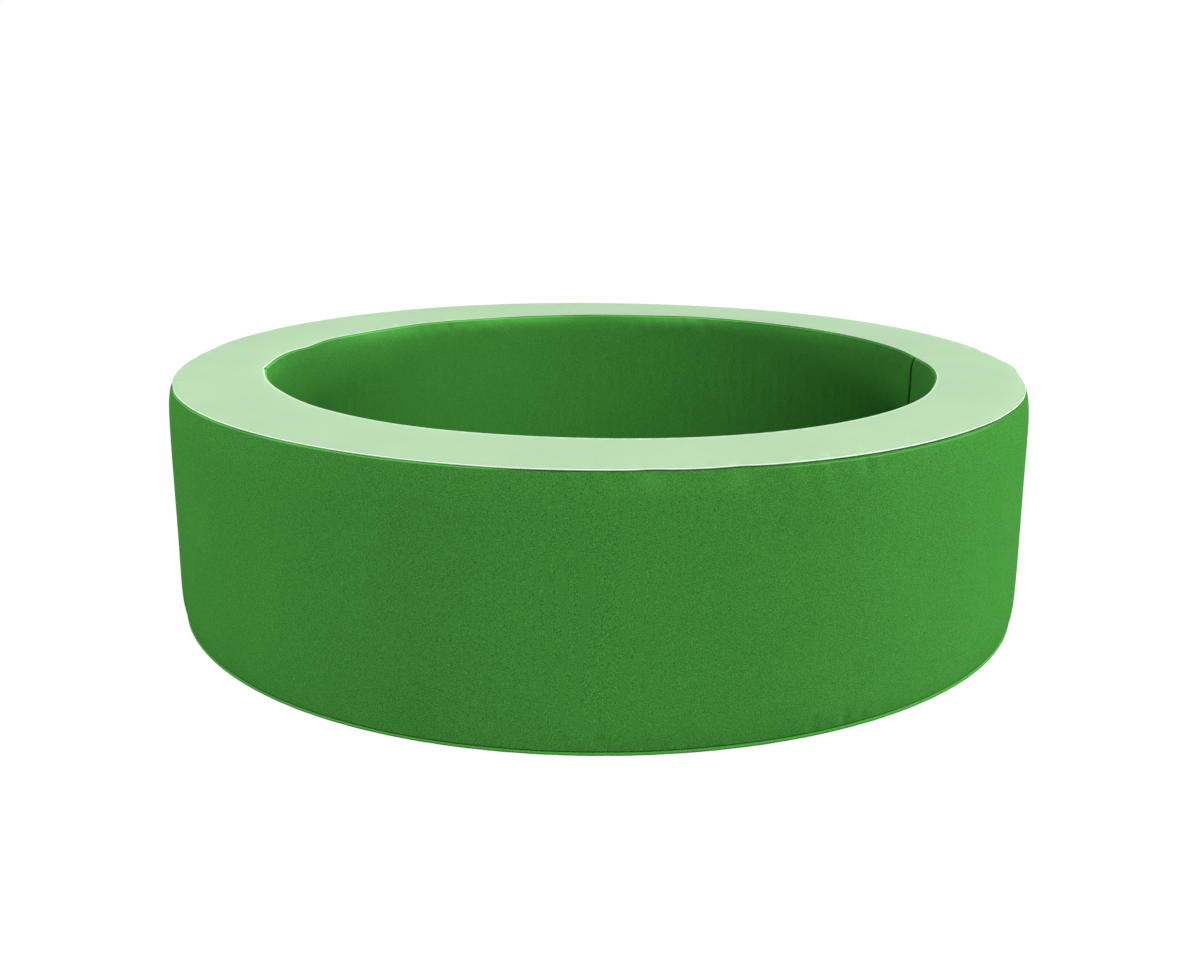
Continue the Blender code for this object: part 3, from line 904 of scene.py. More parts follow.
def woven(name, colour, count):
    """Woven tape: a fine twill that runs round the ring."""
    finish = Finish(name, Specular_IOR_Level=0.1, Sheen_Weight=0.06, Sheen_Roughness=0.5)
    angle, height = finish.angle()
    warp = finish.maths("SINE", finish.maths("MULTIPLY", angle, count))
    weft = finish.maths("SINE", finish.maths("MULTIPLY", height, tau / TAPE_WEFT_PITCH))
    weave = finish.maths("MULTIPLY", warp, weft)
    fuzz = finish.noise(900.0)
    fuzzy = finish.between(finish.maths("ADD", weave, fuzz), 0.0, 1.0, -1.0, 2.0)
    colour = finish.shades(fuzzy, (0.0, tinted(colour, 0.6)), (1.0, tinted(colour, 1.3)))
    return finish.done(colour, finish.between(fuzz, 0.75, 0.95), weave, distance=0.0002, strength=0.8)


def moulded(name, colour):
    """Moulded zip plastic: slightly mottled, with a soft gloss."""
    finish = Finish(name, Specular_IOR_Level=0.5)
    mottle = finish.noise(160.0)
    colour = finish.shades(mottle, (0.3, tinted(colour, 0.85)), (0.7, tinted(colour, 1.15)))
    pits = finish.noise(1500.0)
    return finish.done(colour, finish.between(mottle, 0.38, 0.55), pits, distance=0.00005, strength=0.5)


def plated():
    """Nickel-plated zinc: fine scratches and handling marks."""
    finish = Finish("nickel plated zinc", Metallic=1.0)
    stretched = finish.add("ShaderNodeMapping", {"Vector": finish.place, "Scale": (1.0, 1.0, 12.0)}).outputs[0]
    scratches = finish.noise(900.0, 5.0, stretched)
    marks = finish.noise(220.0)
    colour = finish.shades(marks, (0.3, (0.50, 0.50, 0.49)), (0.7, (0.68, 0.68, 0.66)))
    roughness = finish.between(scratches, 0.22, 0.42, 0.3, 0.7)
    return finish.done(colour, roughness, scratches, distance=0.00003, strength=0.5)


def napped(name, colour, scale):
    """Hook and loop tape: a dark, dense nap."""
    finish = Finish(name, Specular_IOR_Level=0.3, Sheen_Weight=0.4, Sheen_Roughness=0.6)
    nap = finish.cells(scale)
    colour = finish.shades(nap, (0.1, tinted(colour, 2.2)), (0.6, colour))
    return finish.done(colour, finish.between(nap, 0.85, 1.0), nap, distance=0.0006)


def spun(name, colour):
    """Bonded sewing thread: two plies twisted together."""
    finish = Finish(name, Specular_IOR_Level=0.4)
    turns = (finish.maths("MULTIPLY", place, count) for place, count in zip(finish.angle(), PLY_TURNS))
    twist = finish.maths("SINE", finish.maths("ADD", *turns))
    light = finish.between(twist, 0.0, 1.0, -1.0, 1.0)
    colour = finish.shades(light, (0.0, tinted(colour, 0.7)), (1.0, tinted(colour, 1.25)))
    return finish.done(colour, finish.between(twist, 0.5, 0.65, -1.0, 1.0), twist, distance=0.0001, strength=0.5)


# The seams round the ring and the mat, strayed and gathered as in the photograph where it shows them
LINES = {
    "outer_top": SeamLine(
        OUTER,
        11,
        drawn=-0.0048,
        pulls=(
            (-2, 13, -0.0070),
            (160, 12, -0.0035),
            (180, 14, -0.0085),
            (-84.6, 1.6, -0.0035),
            (-75.5, 2, -0.0035),
            (-44, 13, -0.0032),
        ),
        out=((0, -0.0006, 0), (1, 0.0008, 180), (2, 0.0014, 180), (3, 0.0005, 120), (7, 0.0003, 10)),
        up=((0, -0.0006, 0), (1, -0.0007, -90), (3, 0.0004, 60), (5, 0.0003, 200)),
        notches=(
            (95, 0.40, 0.0, -0.0008),
            (11, 0.012, -0.0012, -0.0008),
            (155, 0.015, -0.001, 0.0),
            (179, 0.014, -0.0012, -0.0006),
            (172, 0.05, -0.0040, 0.0),
            (-1, 0.055, 0.0080, 0.0),
            (-105, 0.26, 0.0, -0.0015),
        ),
        bunches=((-94, -76), (-70, -58), (0, 16), (165, 190)),
        bunch_depth=0.0016,
    ),
    "inner_top": SeamLine(
        INNER,
        12,
        drawn=0.0080,
        shoulder=0.018,
        out=((1, 0.0026, 0), (2, 0.0015, 0), (4, 0.0004, 200), (9, 0.0003, 30)),
        up=((4, 0.0004, 20), (6, 0.0003, 150)),
        notches=(
            (104, 0.18, 0.0, -0.0030),
            (148, 0.16, 0.0, -0.0030),
            (168, 0.06, -0.0045, 0.0),
            (88, 0.20, 0.0, -0.0022),
            (-112, 0.28, -0.0045, 0.0007),
            (-150, 0.10, -0.0040, 0.0),
            (-131, 0.10, -0.0020, 0.0),
            (-18, 0.07, -0.0022, 0.0),
            (138, 0.14, -0.0025, -0.0022),
            (163, 0.05, -0.0030, -0.0030),
            (118, 0.10, 0.0, -0.0022),
            (80, 0.07, 0.0, -0.0012),
        ),
        tucks=((7.5, 0.012, 0.0030, -0.0020), (187.5, 0.030, 0.0065, -0.0010)),
        pulls=((7.5, 6, -0.0035),),
        bunches=((0, 29), (68, 81), (112, 139), (178, 196)),
    ),
    "outer_foot": SeamLine(
        OUTER,
        13,
        drawn=-0.0050,
        pulls=((-112, 24, 0.0045),),
        out=((2, 0.0008, 180), (3, 0.0004, 10), (8, 0.0002, 90)),
    ),
    "inner_foot": SeamLine(INNER, 14, drawn=0.0015, out=((3, 0.0003, 80),)),
    "mat_top": SeamLine(
        MAT_OUTER,
        15,
        out=((4, 0.0003, 45),),
        up=((5, 0.0003, 10),),
        bunches=((20, 60), (200, 250)),
    ),
    "mat_foot": SeamLine(MAT_OUTER, 16),
}


def uneven(angles, heights, seed):
    """Gentle unevenness of foam under its cover."""
    draw = np.random.default_rng(seed)
    field = 0.0
    for _ in range(UNEVEN_COUNT):
        turns = draw.integers(*UNEVEN_TURNS)
        tall = draw.uniform(-UNEVEN_UPWARDS, UNEVEN_UPWARDS)
        wave = np.cos(turns * angles + tall * heights + draw.uniform(0, tau))
        field = field + wave * WALL_UNEVEN * draw.uniform(UNEVEN_LEAST, 1)
    return field / UNEVEN_SHARE


def vertical_pull(section, columns, seed, wall):
    """How a wall draws in at its vertical seams, with small gathers across them."""
    draw = np.random.default_rng(seed)
    from_seam = columns.from_seam[None, :]
    lift = -SEAM_PULL * bell(from_seam / SEAM_PULL_WIDTH)
    lift = lift + SEAM_RIDGE[wall] * np.exp(-from_seam / SEAM_RIDGE_WIDTH)
    marks = random_marks(draw, 0, TOP, SEAM_GATHER_SPACING, SEAM_GATHER_DEPTHS, SEAM_GATHER_LENGTHS)
    return lift + gathered(marks, section.z[:, None], from_seam)


def zip_opening(angles):
    """How much of its full height the wall's lower edge stands up over the zip, at each angle."""
    round_off = ZIP_END_ROUND / OUTER
    return smooth((angles - ZIP_START) / round_off + 0.5) * smooth((ZIP_END - angles) / round_off + 0.5)


def cloth_faces():
    """The ring's cover as it is before it is blown up: the radius and height of each row of its three faces."""
    tall, wide = WALL_TOP - WALL_LOW, OUTER - INNER
    up, across = (spaced(length, (0, length), CLOTH_COARSE, CLOTH_STEP, CLOTH_GROWTH) for length in (tall, wide))
    pull = {}
    for wall in ("outer", "inner"):
        foot, top = LINES[f"{wall}_foot"], LINES[f"{wall}_top"]
        pull[wall] = foot.draw_in(0 * up, up) + top.draw_in(0 * up, tall - up)
    share = across / wide
    start, end = OUTER + pull["outer"][-1], INNER + pull["inner"][-1]
    return {
        "outer": np.stack([OUTER + pull["outer"], WALL_LOW + up], axis=-1),
        "rim": np.stack([start + (end - start) * share, TOP - RIM_CROWN * (1 - 4 * share * (1 - share))], axis=-1),
        "inner": np.stack([INNER + pull["inner"], WALL_LOW + up], axis=-1)[::-1],
    }


def slackness(angles):
    """How much of the cover's slack lies at each angle, with most of it where the seams bunch."""
    amount = SLACK_LEAST + 0 * angles
    for first, last in LINES["outer_top"].bunches + LINES["inner_top"].bunches:
        amount = np.maximum(amount, stretch(angles, first, last))
    return amount


class Swell:
    """How the ring's cover swells over its foam and puckers at its seams, from a cloth simulation."""

    def __init__(self):
        self.grids = {}
        faces = cloth_faces()
        base = np.array([(INNER + (OUTER - INNER) * share, 0.0) for share in CLOTH_BASE])
        loop = np.concatenate([*faces.values(), base])
        starts = np.cumsum([0] + [len(face) for face in faces.values()])
        angles = np.arange(CLOTH_COLUMNS) * tau / CLOTH_COLUMNS
        draw = np.random.default_rng(CLOTH_SEED)
        r = loop[:, :1] + draw.normal(0, CLOTH_ROUGH, (len(loop), CLOTH_COLUMNS))
        z = loop[:, 1:] + 0 * angles
        numbers = np.arange(r.size).reshape(r.shape)
        cover = meshed("cover_being_blown_up", swept(r, angles, z), quads(numbers, row_wrap=True, column_wrap=True))
        seams = sorted({*starts[:-1], *(starts[1:] - 1)})
        held, flat = cover.vertex_groups.new(name="held"), cover.vertex_groups.new(name="flat")
        for row in range(len(loop)):
            away = min(np.hypot(*(loop[row] - loop[seam])) for seam in seams)
            on_seam = row in seams or row >= starts[-1]
            on_inner = starts[2] < row < starts[3] and away > SLACK_REACH
            if on_seam or on_inner:
                held.add(numbers[row].tolist(), 1.0 if on_seam else INNER_HELD, "REPLACE")
            near = bell(away / SLACK_REACH)
            for number, slack in zip(numbers[row].tolist(), near * slackness(angles)):
                flat.add([number], 1 - float(slack), "REPLACE")
        moved = blown(cover).reshape(*r.shape, 3)
        moves = {"r": np.hypot(moved[..., 0], moved[..., 1]) - loop[:, :1], "z": moved[..., 2] - z}
        for part, (name, face) in enumerate(faces.items()):
            axis, facing, cap = CLOTH_WAYS[name]
            grid = facing * moves[axis][starts[part] : starts[part + 1]]
            self.grids[name] = face[:, 0 if axis == "z" else 1], cap * np.tanh(grid / cap)

    def lift(self, name, angles, places):
        """How far a face stands off its plain shape, as a grid of places by angles."""
        if name not in self.grids:
            return np.zeros((len(places), len(angles)))
        rows, grid = self.grids[name]
        order = np.argsort(rows)
        row = np.interp(places, rows[order], np.arange(len(rows)))
        column = (angles % tau) / tau * CLOTH_COLUMNS
        return cubic(grid[order], row, column)


def cubic(grid, row, column):
    """Values between the points of a grid that wraps round from column to column."""
    first_row, first_column = np.floor(row).astype(int), np.floor(column).astype(int)
    row_weights, column_weights = spline_weights(row - first_row), spline_weights(column - first_column)
    total = np.zeros((len(row), len(column)))
    for i, row_weight in enumerate(row_weights):
        rows = np.clip(first_row + i - 1, 0, len(grid) - 1)
        for j, column_weight in enumerate(column_weights):
            columns = (first_column + j - 1) % grid.shape[1]
            total += row_weight[:, None] * column_weight[None, :] * grid[rows][:, columns]
    return total


def spline_weights(share):
    """Weights of four neighbouring points for a smooth curve through the middle two."""
    square, cube = share**2, share**3
    return (
        (-share + 2 * square - cube) / 2,
        (2 - 5 * square + 3 * cube) / 2,
        (share + 4 * square - 3 * cube) / 2,
        (cube - square) / 2,
    )


def blown(cover):
    """Blows up a cover as cloth, held where its group says, and returns where its points end."""
    cloth = cover.modifiers.new("blown up", "CLOTH")
    settings = cloth.settings
    settings.quality = CLOTH_QUALITY
    settings.tension_stiffness = settings.compression_stiffness = CLOTH_TENSION
    settings.bending_stiffness = CLOTH_BENDING
    settings.vertex_group_mass = "held"
    settings.vertex_group_shrink = "flat"
    settings.shrink_min, settings.shrink_max = -CLOTH_SLACK, 0.0
    settings.use_pressure = True
    settings.uniform_pressure_force = CLOTH_PRESSURE
    settings.effector_weights.gravity = 0.0
    cloth.point_cache.frame_start, cloth.point_cache.frame_end = 1, CLOTH_FRAMES
    for frame_number in range(1, CLOTH_FRAMES + 1):
        bpy.context.scene.frame_set(frame_number)
    made = cover.evaluated_get(bpy.context.evaluated_depsgraph_get()).to_mesh()
    moved = np.empty(len(made.vertices) * 3)
    made.vertices.foreach_get("co", moved)
    data = cover.data
    bpy.data.objects.remove(cover)
    bpy.data.meshes.remove(data)
    bpy.context.scene.frame_set(1)
    return moved


def near_fold(away, width):
    """1 at a folded edge, falling to nothing a little past the given width from it."""
    return 1 - smooth((away - width) / (FOLD_BLUR * width) + 0.5)


def wall_tone(section, columns, wall):
    """Painted light and shade on a wall: highlights along its folds and ridge, shade in its seams and groove, and
    on the inner wall broad painted light and shade.
    """
    high, low = section.z[:, None], section.z[:, None] - WALL_LOW
    below = WALL_TOP - high
    seam_dark, seam_width = SEAM_SHADE[wall]
    # Painted shade along the foot's fold and beside the vertical seams
    tone = -FOOT_SHADE * near_fold(low, FOLD) - seam_dark * near_fold(columns.from_seam, seam_width)
    if wall == "inner":
        # Inner wall: painted light beside the seam's nearer side, a band of painted light below the rim at the
        # back, broad painted shade and light, and a highlight painted along the top fold
        nearer = turned(columns.angles, degrees(SEAM_ANGLE)) < 0
        lit = nearer * SEAM_LIT * bell(columns.from_seam / SEAM_LIT_WIDTH)
        swell = 1 + INNER_LIT_BAND_SWELL * np.cos(INNER_LIT_BAND_WAVES * turned(columns.angles, INNER_LIT_BAND_PEAK))
        spread = bell(turned(columns.angles, INNER_LIT_BAND_MIDDLE) / radians(INNER_LIT_BAND_SPREAD))
        tone = tone + INNER_LIT_BAND * swell * spread * bell(below / INNER_LIT_BAND_WIDTH)
        for place, half_width, drop, amount in INNER_SHADES:
            across = turned(columns.angles, place) / radians(half_width)
            tone = tone + amount * np.exp(-(across**2) - (below / drop) ** 2)
        return tone + FOLD_HIGHLIGHT * near_fold(below, FOLD) + lit * (columns.from_seam > seam_width)
    # Outer wall: highlights painted on the ridge under the rim and on the top fold, painted shade in the groove
    # under the rim, and painted light in spots below the rim's pulls
    ridge = stretch(columns.angles, *RIDGE_FROM_TO) * bell((below - RIDGE_DROP) / RIDGE_WIDTH)
    dark = stretch(columns.angles, *GROOVE_SHADE_FROM_TO) * near_fold(below, GROOVE_SHADE_WIDTH)
    pale = stretch(columns.angles, *FOLD_FROM_TO) * near_fold(below, FOLD)
    for place, half_width in LIT_SPOTS:
        across = turned(columns.angles, place) * OUTER / half_width
        tone = tone + SPOT_PALE * np.exp(-(across**2) - ((below - SPOT_DROP) / SPOT_DROP) ** 2)
    return tone - GROOVE_SHADE * dark + FOLD_HIGHLIGHT * (ridge + pale)


def stretch(angles, first, last):
    """1 between two places round the ring, in degrees, fading to nothing past them."""
    half = radians(last - first) / 2
    return smooth((half - np.abs(turned(angles, (first + last) / 2))) / STRETCH_FADE + 0.5)


def add_rim(rim_vinyl, swell):
    """Cover of the rim, with highlights painted along its rolled edges and painted shade a little darker at the
    back.
    """
    section = rim_section()
    columns = whole_turn(OUTER)
    outer_highlight, inner_highlight = (
        near_fold(np.abs(along - pi * RIM_ROLL * RIM_HIGHLIGHT_AT), RIM_HIGHLIGHT_WIDTH)[:, None]
        for along in (section.from_first, section.from_last)
    )
    on_top = np.clip(section.from_last - pi * RIM_ROLL, 0, None)[:, None]
    width = RIM_NEAR_WIDTH * np.hypot(np.cos(columns.angles), np.sin(columns.angles) / RIM_NEAR_SLANT)
    # Highlights painted along the rim's rolled edges and along its near inner edge
    tone = RIM_EDGE_HIGHLIGHT * outer_highlight * stretch(columns.angles, *RIM_HIGHLIGHT_FROM_TO) + RIM_INNER_HIGHLIGHT * inner_highlight
    tone = tone + RIM_NEAR_HIGHLIGHT * stretch(columns.angles, *RIM_NEAR_FROM_TO) * bell(on_top / width)
    # Painted shade, darker towards the back of the ring
    tone = tone - RIM_SHADE * np.clip(RIM_SHADE_LEAST + np.sin(columns.angles), 0, None)
    lines = LINES["outer_top"], LINES["inner_top"]
    lift = swell.lift("rim", columns.angles, section.r) * (section.face_z[:, None] > FLAT_FACE)
    set_back = sum(stretch(columns.angles, *ends) for ends in RIM_BACK_FROM_TO)
    spread = -RIM_BACK * set_back * near_fold(section.from_first, RIM_BACK_REACH)[:, None]
    rim = panel("rim_cover", section, columns, lines, lift=lift, spread=spread, tone=tone, pucker=RIM_PUCKER)
    placed(rim, rim_vinyl, "rim_vinyl", "ring", "ring_top_panel", fill=COVER_FILL)


def add_base(wall_vinyl):
    """Cover of the ring's underside, paler along a line where it turns up round the foot."""
    section = base_section()
    lines = LINES["inner_foot"], LINES["outer_foot"]
    lightened = BASE_PALE * near_fold(np.abs(section.from_last - BASE_PALE_AT), BASE_PALE_WIDTH)[:, None]
    base = panel("ring_base_cover", section, whole_turn(OUTER), lines, tone=lightened)
    placed(base, wall_vinyl, "wall_vinyl", "ring", "ring_base_panel", fill=COVER_FILL)


def add_wall(wall_vinyl, swell, wall, half):
    """Half of the outer or inner wall's cover; the outer wall's back half stands up over the zip."""
    side, radius = (1, OUTER) if wall == "outer" else (-1, INNER)
    place = ("back", "front")[half]
    has_zip = wall == "outer" and place == "back"
    section = wall_section(radius, side, WALL_LOW, WALL_TOP)
    columns = half_turn(radius, half, (ZIP_START, ZIP_END) if has_zip else ())
    lines = [LINES[f"{wall}_foot"], LINES[f"{wall}_top"]][::side]
    seed = WALL_SEED + 2 * half + (side > 0)
    lift = vertical_pull(section, columns, seed, wall)
    lift = lift + swell.lift(wall, columns.angles, section.z) * (section.share > 0)[:, None]
    lift = lift + uneven(columns.angles[None, :], section.z[:, None], seed + UNEVEN_SEED)
    if wall == "outer":
        below = WALL_TOP - section.z[:, None] - RIDGE_DROP
        lift = lift + RIDGE_HEIGHT * (stretch(columns.angles, *RIDGE_FROM_TO) * bell(below / RIDGE_WIDTH))
    rise = 0.0
    if has_zip:
        opening = zip_opening(columns.angles)[None, :]
        share = ((WALL_TOP - section.z) / (WALL_TOP - WALL_LOW))[:, None]
        rise = opening * (ZIP_SLOT_TOP - WALL_LOW) * share
        above = section.z[:, None] + rise - ZIP_SLOT_TOP - ZIP_STITCH_RISE
        lift = lift - ZIP_STITCH_PULL * bell(above / ZIP_STITCH_WIDTH) * opening
    tone = wall_tone(section, columns, wall)
    thing = panel(f"{wall}_wall_{place}_cover", section, columns, lines, side=side, lift=lift, rise=rise, tone=tone)
    placed(thing, wall_vinyl, "wall_vinyl", "ring", f"{wall}_wall_{place}_panel", fill=COVER_FILL)


def add_ring(rim_vinyl, wall_vinyl, swell):
    """The ring's six sewn covers."""
    add_rim(rim_vinyl, swell)
    add_base(wall_vinyl)
    for half in (0, 1):
        for wall in ("outer", "inner"):
            add_wall(wall_vinyl, swell, wall, half)


def rounded(points, radius, steps=5):
    """Closed outline of (radius, height) points with every corner rounded."""
    result = []
    count = len(points)
    for here in range(count):
        corner = np.array(points[here])
        before = np.array(points[here - 1]) - corner
        after = np.array(points[(here + 1) % count]) - corner
        cut = min(radius, np.hypot(*before) / 2, np.hypot(*after) / 2)
        start = corner + before / np.hypot(*before) * cut
        end = corner + after / np.hypot(*after) * cut
        for share in np.linspace(0, 1, steps + 1):
            point = start * (1 - share) ** 2 + corner * 2 * share * (1 - share) + end * share**2
            if not result or np.hypot(*(point - result[-1])) > WELD:
                result.append(point)
    return np.array(result)


def wall_shift(wall, angles, heights):
    """How far a wall of the ring strays outwards from its circle, at each angle and height."""
    foot, top = LINES[f"{wall}_foot"], LINES[f"{wall}_top"]
    share = smooth((heights - WALL_LOW) / (WALL_TOP - WALL_LOW))
    shift = foot.stray(angles)[0] * (1 - share) + top.stray(angles)[0] * share
    return shift + foot.draw_in(angles, heights - WALL_LOW) + top.draw_in(angles, WALL_TOP - heights)


def add_foam(foam):
    """Four glued arcs of foam under the ring's cover."""
    inside, outside = INNER + THICKNESS + FOAM_ROOM, OUTER - THICKNESS - FOAM_ROOM
    low, high = THICKNESS + FOAM_ROOM, TOP - RIM_CROWN - THICKNESS - FOAM_ROOM
    channel = outside - CHANNEL_DEPTH
    plain = [(inside, low), (outside, low), (outside, high), (inside, high)]
    with_channel = [
        (inside, low),
        (channel, low),
        (channel, CHANNEL_HEIGHT),
        (outside, CHANNEL_HEIGHT),
        (outside, high),
        (inside, high),
    ]
    for arc_number in range(4):
        first = SEAM_ANGLE + arc_number * pi / 2
        gap = (TURNED_IN / 4 if arc_number % 2 == 0 else FOAM_GLUE_GAP) / INNER
        last_gap = (FOAM_GLUE_GAP if arc_number % 2 == 0 else TURNED_IN / 4) / INNER
        outline = rounded(with_channel if arc_number < 2 else plain, FOAM_CORNER)
        angles = np.linspace(first + gap, first + pi / 2 - last_gap, FOAM_COLUMNS)
        r, z = outline[:, :1], outline[:, 1:]
        inner_shift, outer_shift = (wall_shift(wall, angles[None, :], z) for wall in ("inner", "outer"))
        across = (r - inside) / (outside - inside)
        r = r + inner_shift + (outer_shift - inner_shift) * across
        inner_rise, outer_rise = (LINES[f"{wall}_top"].stray(angles[None, :])[1] for wall in ("inner", "outer"))
        z = z + (inner_rise + (outer_rise - inner_rise) * smooth(across)) * smooth((z - low) / (high - low))
        numbers = np.arange(r.size).reshape(r.shape)
        ends = np.stack([numbers[:, 0], numbers[::-1, -1]])
        name = f"foam_block_{arc_number + 1}"
        thing = meshed(name, swept(r, angles, z), quads(numbers, row_wrap=True), ends)
        placed(thing, foam, "foam", "ring", f"foam_core_{arc_number + 1}", fill=FOAM_FILL)


def add_zip(tape, plastic, metal):
    """Woven tapes and moulded teeth of the zip, and its metal pieces."""
    angles = np.arange(ZIP_START - TAPE_TAIL, ZIP_END + TAPE_TAIL, COLUMN_STEP / OUTER)
    lower = [
        (LOWER_TAPE[0], LOWER_TAPE[2]),
        (LOWER_TAPE[1] - TAPE_THICKNESS, LOWER_TAPE[2]),
        (LOWER_TAPE[1], LOWER_TAPE[2] + TAPE_THICKNESS),
        (LOWER_TAPE[1], LOWER_TAPE[3]),
    ]
    upper = [(UPPER_TAPE[1], UPPER_TAPE[2]), (UPPER_TAPE[1], UPPER_TAPE[3])]
    for name, ends in (("zip_lower_tape", lower), ("zip_upper_tape", upper)):
        points = []
        for start, end in zip(ends, ends[1:]):
            points += [start, *straight(start, end, TAPE_STEP)]
        thing = strip(f"{name}_weave", points + [ends[-1]], angles)
        placed(thing, tape, "zip_tape", "ring", name)
    first = ZIP_START + STOP_ROOM + TOOTH_ROOM / 2
    turns = np.arange(first, ZIP_END - STOP_ROOM, TOOTH_PITCH / OUTER)
    for name, box, shift, reach_in in (
        ("zip_lower_teeth", LOWER_TEETH, 0.0, 1),
        ("zip_upper_teeth", UPPER_TEETH, 0.5, -1),
    ):
        length = box[3] - box[2] + TOOTH_REACH
        middle = (box[2] + box[3] + reach_in * TOOTH_REACH) / 2
        depth = box[1] - box[0]
        shape, faces = tooth(length, TOOTH_WIDTH, depth)
        places = [((box[0] + box[1]) / 2, middle)] * (len(turns) - 1)
        thing = copied(f"{name}_moulded", shape, faces, places, (turns + shift * TOOTH_PITCH / OUTER)[:-1])
        placed(thing, plastic, "zip_teeth", "ring", name)
    for node in ("zip_start_stop", "zip_end_stop", "zip_slider", "zip_pull_tab"):
        carried(node, metal)


def carried(node, material):
    """Keeps a rigid CAD piece, with its edges eased and a finish of its own."""
    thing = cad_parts[node]
    thing.data.materials.clear()
    thing.data.materials.append(material)
    thing.modifiers.new("joined corners", "WELD").merge_threshold = WELD
    bevel = thing.modifiers.new("eased edges", "BEVEL")
    bevel.width = EDGE_ROUND
    bevel.segments = 2
    bevel.limit_method = "ANGLE"
    bevel.angle_limit = EDGE_ANGLE


def add_threads(thread):
    """Stitches that show in the grooves of the seams, and the row that holds the zip."""
    upright, upright_faces = rod(UPRIGHT_STITCH, THREAD, upright=True)
    for name, radius, height, line in (
        ("rim_outer_stitches", OUTER - FOLD, RIM_UNDER - GROOVE / 2, LINES["outer_top"]),
        ("rim_inner_stitches", INNER + RIM_SET_BACK + FOLD, RIM_UNDER - GROOVE / 2, LINES["inner_top"]),
        ("foot_outer_stitches", OUTER - FOLD, (FOOT_SEAM + WALL_LOW) / 2, LINES["outer_foot"]),
    ):
        angles = np.arange(0, tau, STITCH_PITCH / radius)
        out, up = line.stray(angles)
        places = np.stack([radius + out + line.draw_in(angles, 0.0), height + up], axis=-1)
        thing = copied(name, upright, upright_faces, places, angles)
        placed(thing, thread, "wall_vinyl", "ring")
    along, along_faces = rod(STITCH_LENGTH, THREAD)
    angles = np.arange(ZIP_START + STITCH_END_ROOM, ZIP_END - STITCH_END_ROOM, STITCH_PITCH / OUTER)
    places = [(OUTER - ZIP_STITCH_PULL + THREAD * STITCH_PROUD, ZIP_SLOT_TOP + ZIP_STITCH_RISE)] * len(angles)
    placed(copied("zip_stitches", along, along_faces, places, angles), thread, "wall_vinyl", "ring")


def mat_top_section():
    """Top of the mat, from its seam over its rolled edge to where it is flat."""
    roll_low = MAT_SEAM + FOLD
    shoulder = roll_low + MAT_ROLL
    edge = MAT_OUTER - MAT_ROLL
    crown = [
        (r, shoulder + (MAT_TOP - shoulder) * smooth((edge - r) / (edge - MAT_FLAT)))
        for r, _ in straight((edge, 0), (MAT_FLAT, 0), MAT_ROW_STEP)
    ]
    return Section(
        [
            *hem(MAT_OUTER, FOLD, MAT_SEAM),
            *arc((MAT_OUTER - FOLD, roll_low), FOLD, -90, 0),
            *arc((edge, roll_low), MAT_ROLL, 0, 90, MAT_ROLL_STEPS)[1:],
            *crown,
            (MAT_FLAT, MAT_TOP),
        ]
    )


def mat_base_section():
    """Underside of the mat, from its seam round its rolled edge to its flat middle."""
    roll = MAT_FOOT_SEAM / 2
    return Section(
        [
            *hem(MAT_OUTER, roll, MAT_FOOT_SEAM),
            *arc((MAT_OUTER - roll, roll), roll, 90, -90, ROLL_STEPS),
            *straight((MAT_OUTER - roll, 0), (MAT_FLAT, 0)),
            (MAT_FLAT, 0),
        ]
    )


def mat_unevenness(angles, radii, away):
    """Shallow hollows in the mat's top, at each angle and radius."""
    x, y = radii * np.cos(angles), radii * np.sin(angles)
    draw = np.random.default_rng(MAT_SEED)
    field = 0 * x
    for _ in range(MAT_WAVE_COUNT):
        heading, waves = draw.uniform(0, tau), draw.uniform(*MAT_WAVES)
        wave = np.cos(waves * (x * cos(heading) + y * sin(heading)) + draw.uniform(0, tau))
        field += wave * draw.uniform(UNEVEN_LEAST, 1)
    return -MAT_UNEVEN * (0.5 + 0.5 * np.tanh(field / 2)) * smooth(away / MAT_UNEVEN_FROM)


def add_mat(vinyl_cover, foam):
    """Floor mat: its three covers and its foam."""
    top = disc_panel("mat_top_cover", mat_top_section(), LINES["mat_top"], lift=mat_unevenness)
    base = disc_panel("mat_base_cover", mat_base_section(), LINES["mat_foot"], down=True)
    section = wall_section(MAT_OUTER, 1, MAT_BAND_LOW, MAT_BAND_HIGH)
    band = panel("mat_side_cover", section, whole_turn(MAT_OUTER), (LINES["mat_foot"], LINES["mat_top"]))
    for cover, node in ((top, "mat_top_panel"), (base, "mat_base_panel"), (band, "mat_side_band")):
        placed(cover, vinyl_cover, "wall_vinyl", "floor_mat", node, fill=MAT_COVER_FILL)
    inside = MAT_OUTER - THICKNESS - FOAM_ROOM
    low, high = THICKNESS + FOAM_ROOM, MAT_TOP - 2 * THICKNESS - FOAM_ROOM - MAT_CROWN
    middle = (low + high) / 2
    edge = np.array(arc((0, 0), 1, 0, 90, MAT_FOAM_EDGE_ROWS))
    edge_r, edge_z = inside - FOAM_CORNER + FOAM_CORNER * edge[:, 0], edge[:, 1] * (high - low) / 2
    radii = np.concatenate([edge_r, np.linspace(edge_r[-1], MAT_FLAT, MAT_FOAM_ROWS)[1:]])
    count = FOAM_COLUMNS * 4
    angles, reaches, faces = disc_layout(radii, count)
    bulge = np.full(len(reaches), edge_z[-1])
    bulge[: len(edge_z) * count] = np.repeat(edge_z, count)
    upper, lower = swept(reaches, angles, middle + bulge), swept(reaches, angles, middle - bulge)
    upper[:count, 2] += THICKNESS / 2
    thing = closed_disc("mat_foam_block", upper, lower, faces, count)
    placed(thing, foam, "foam", "floor_mat", "mat_foam_disc", fill=FOAM_FILL)


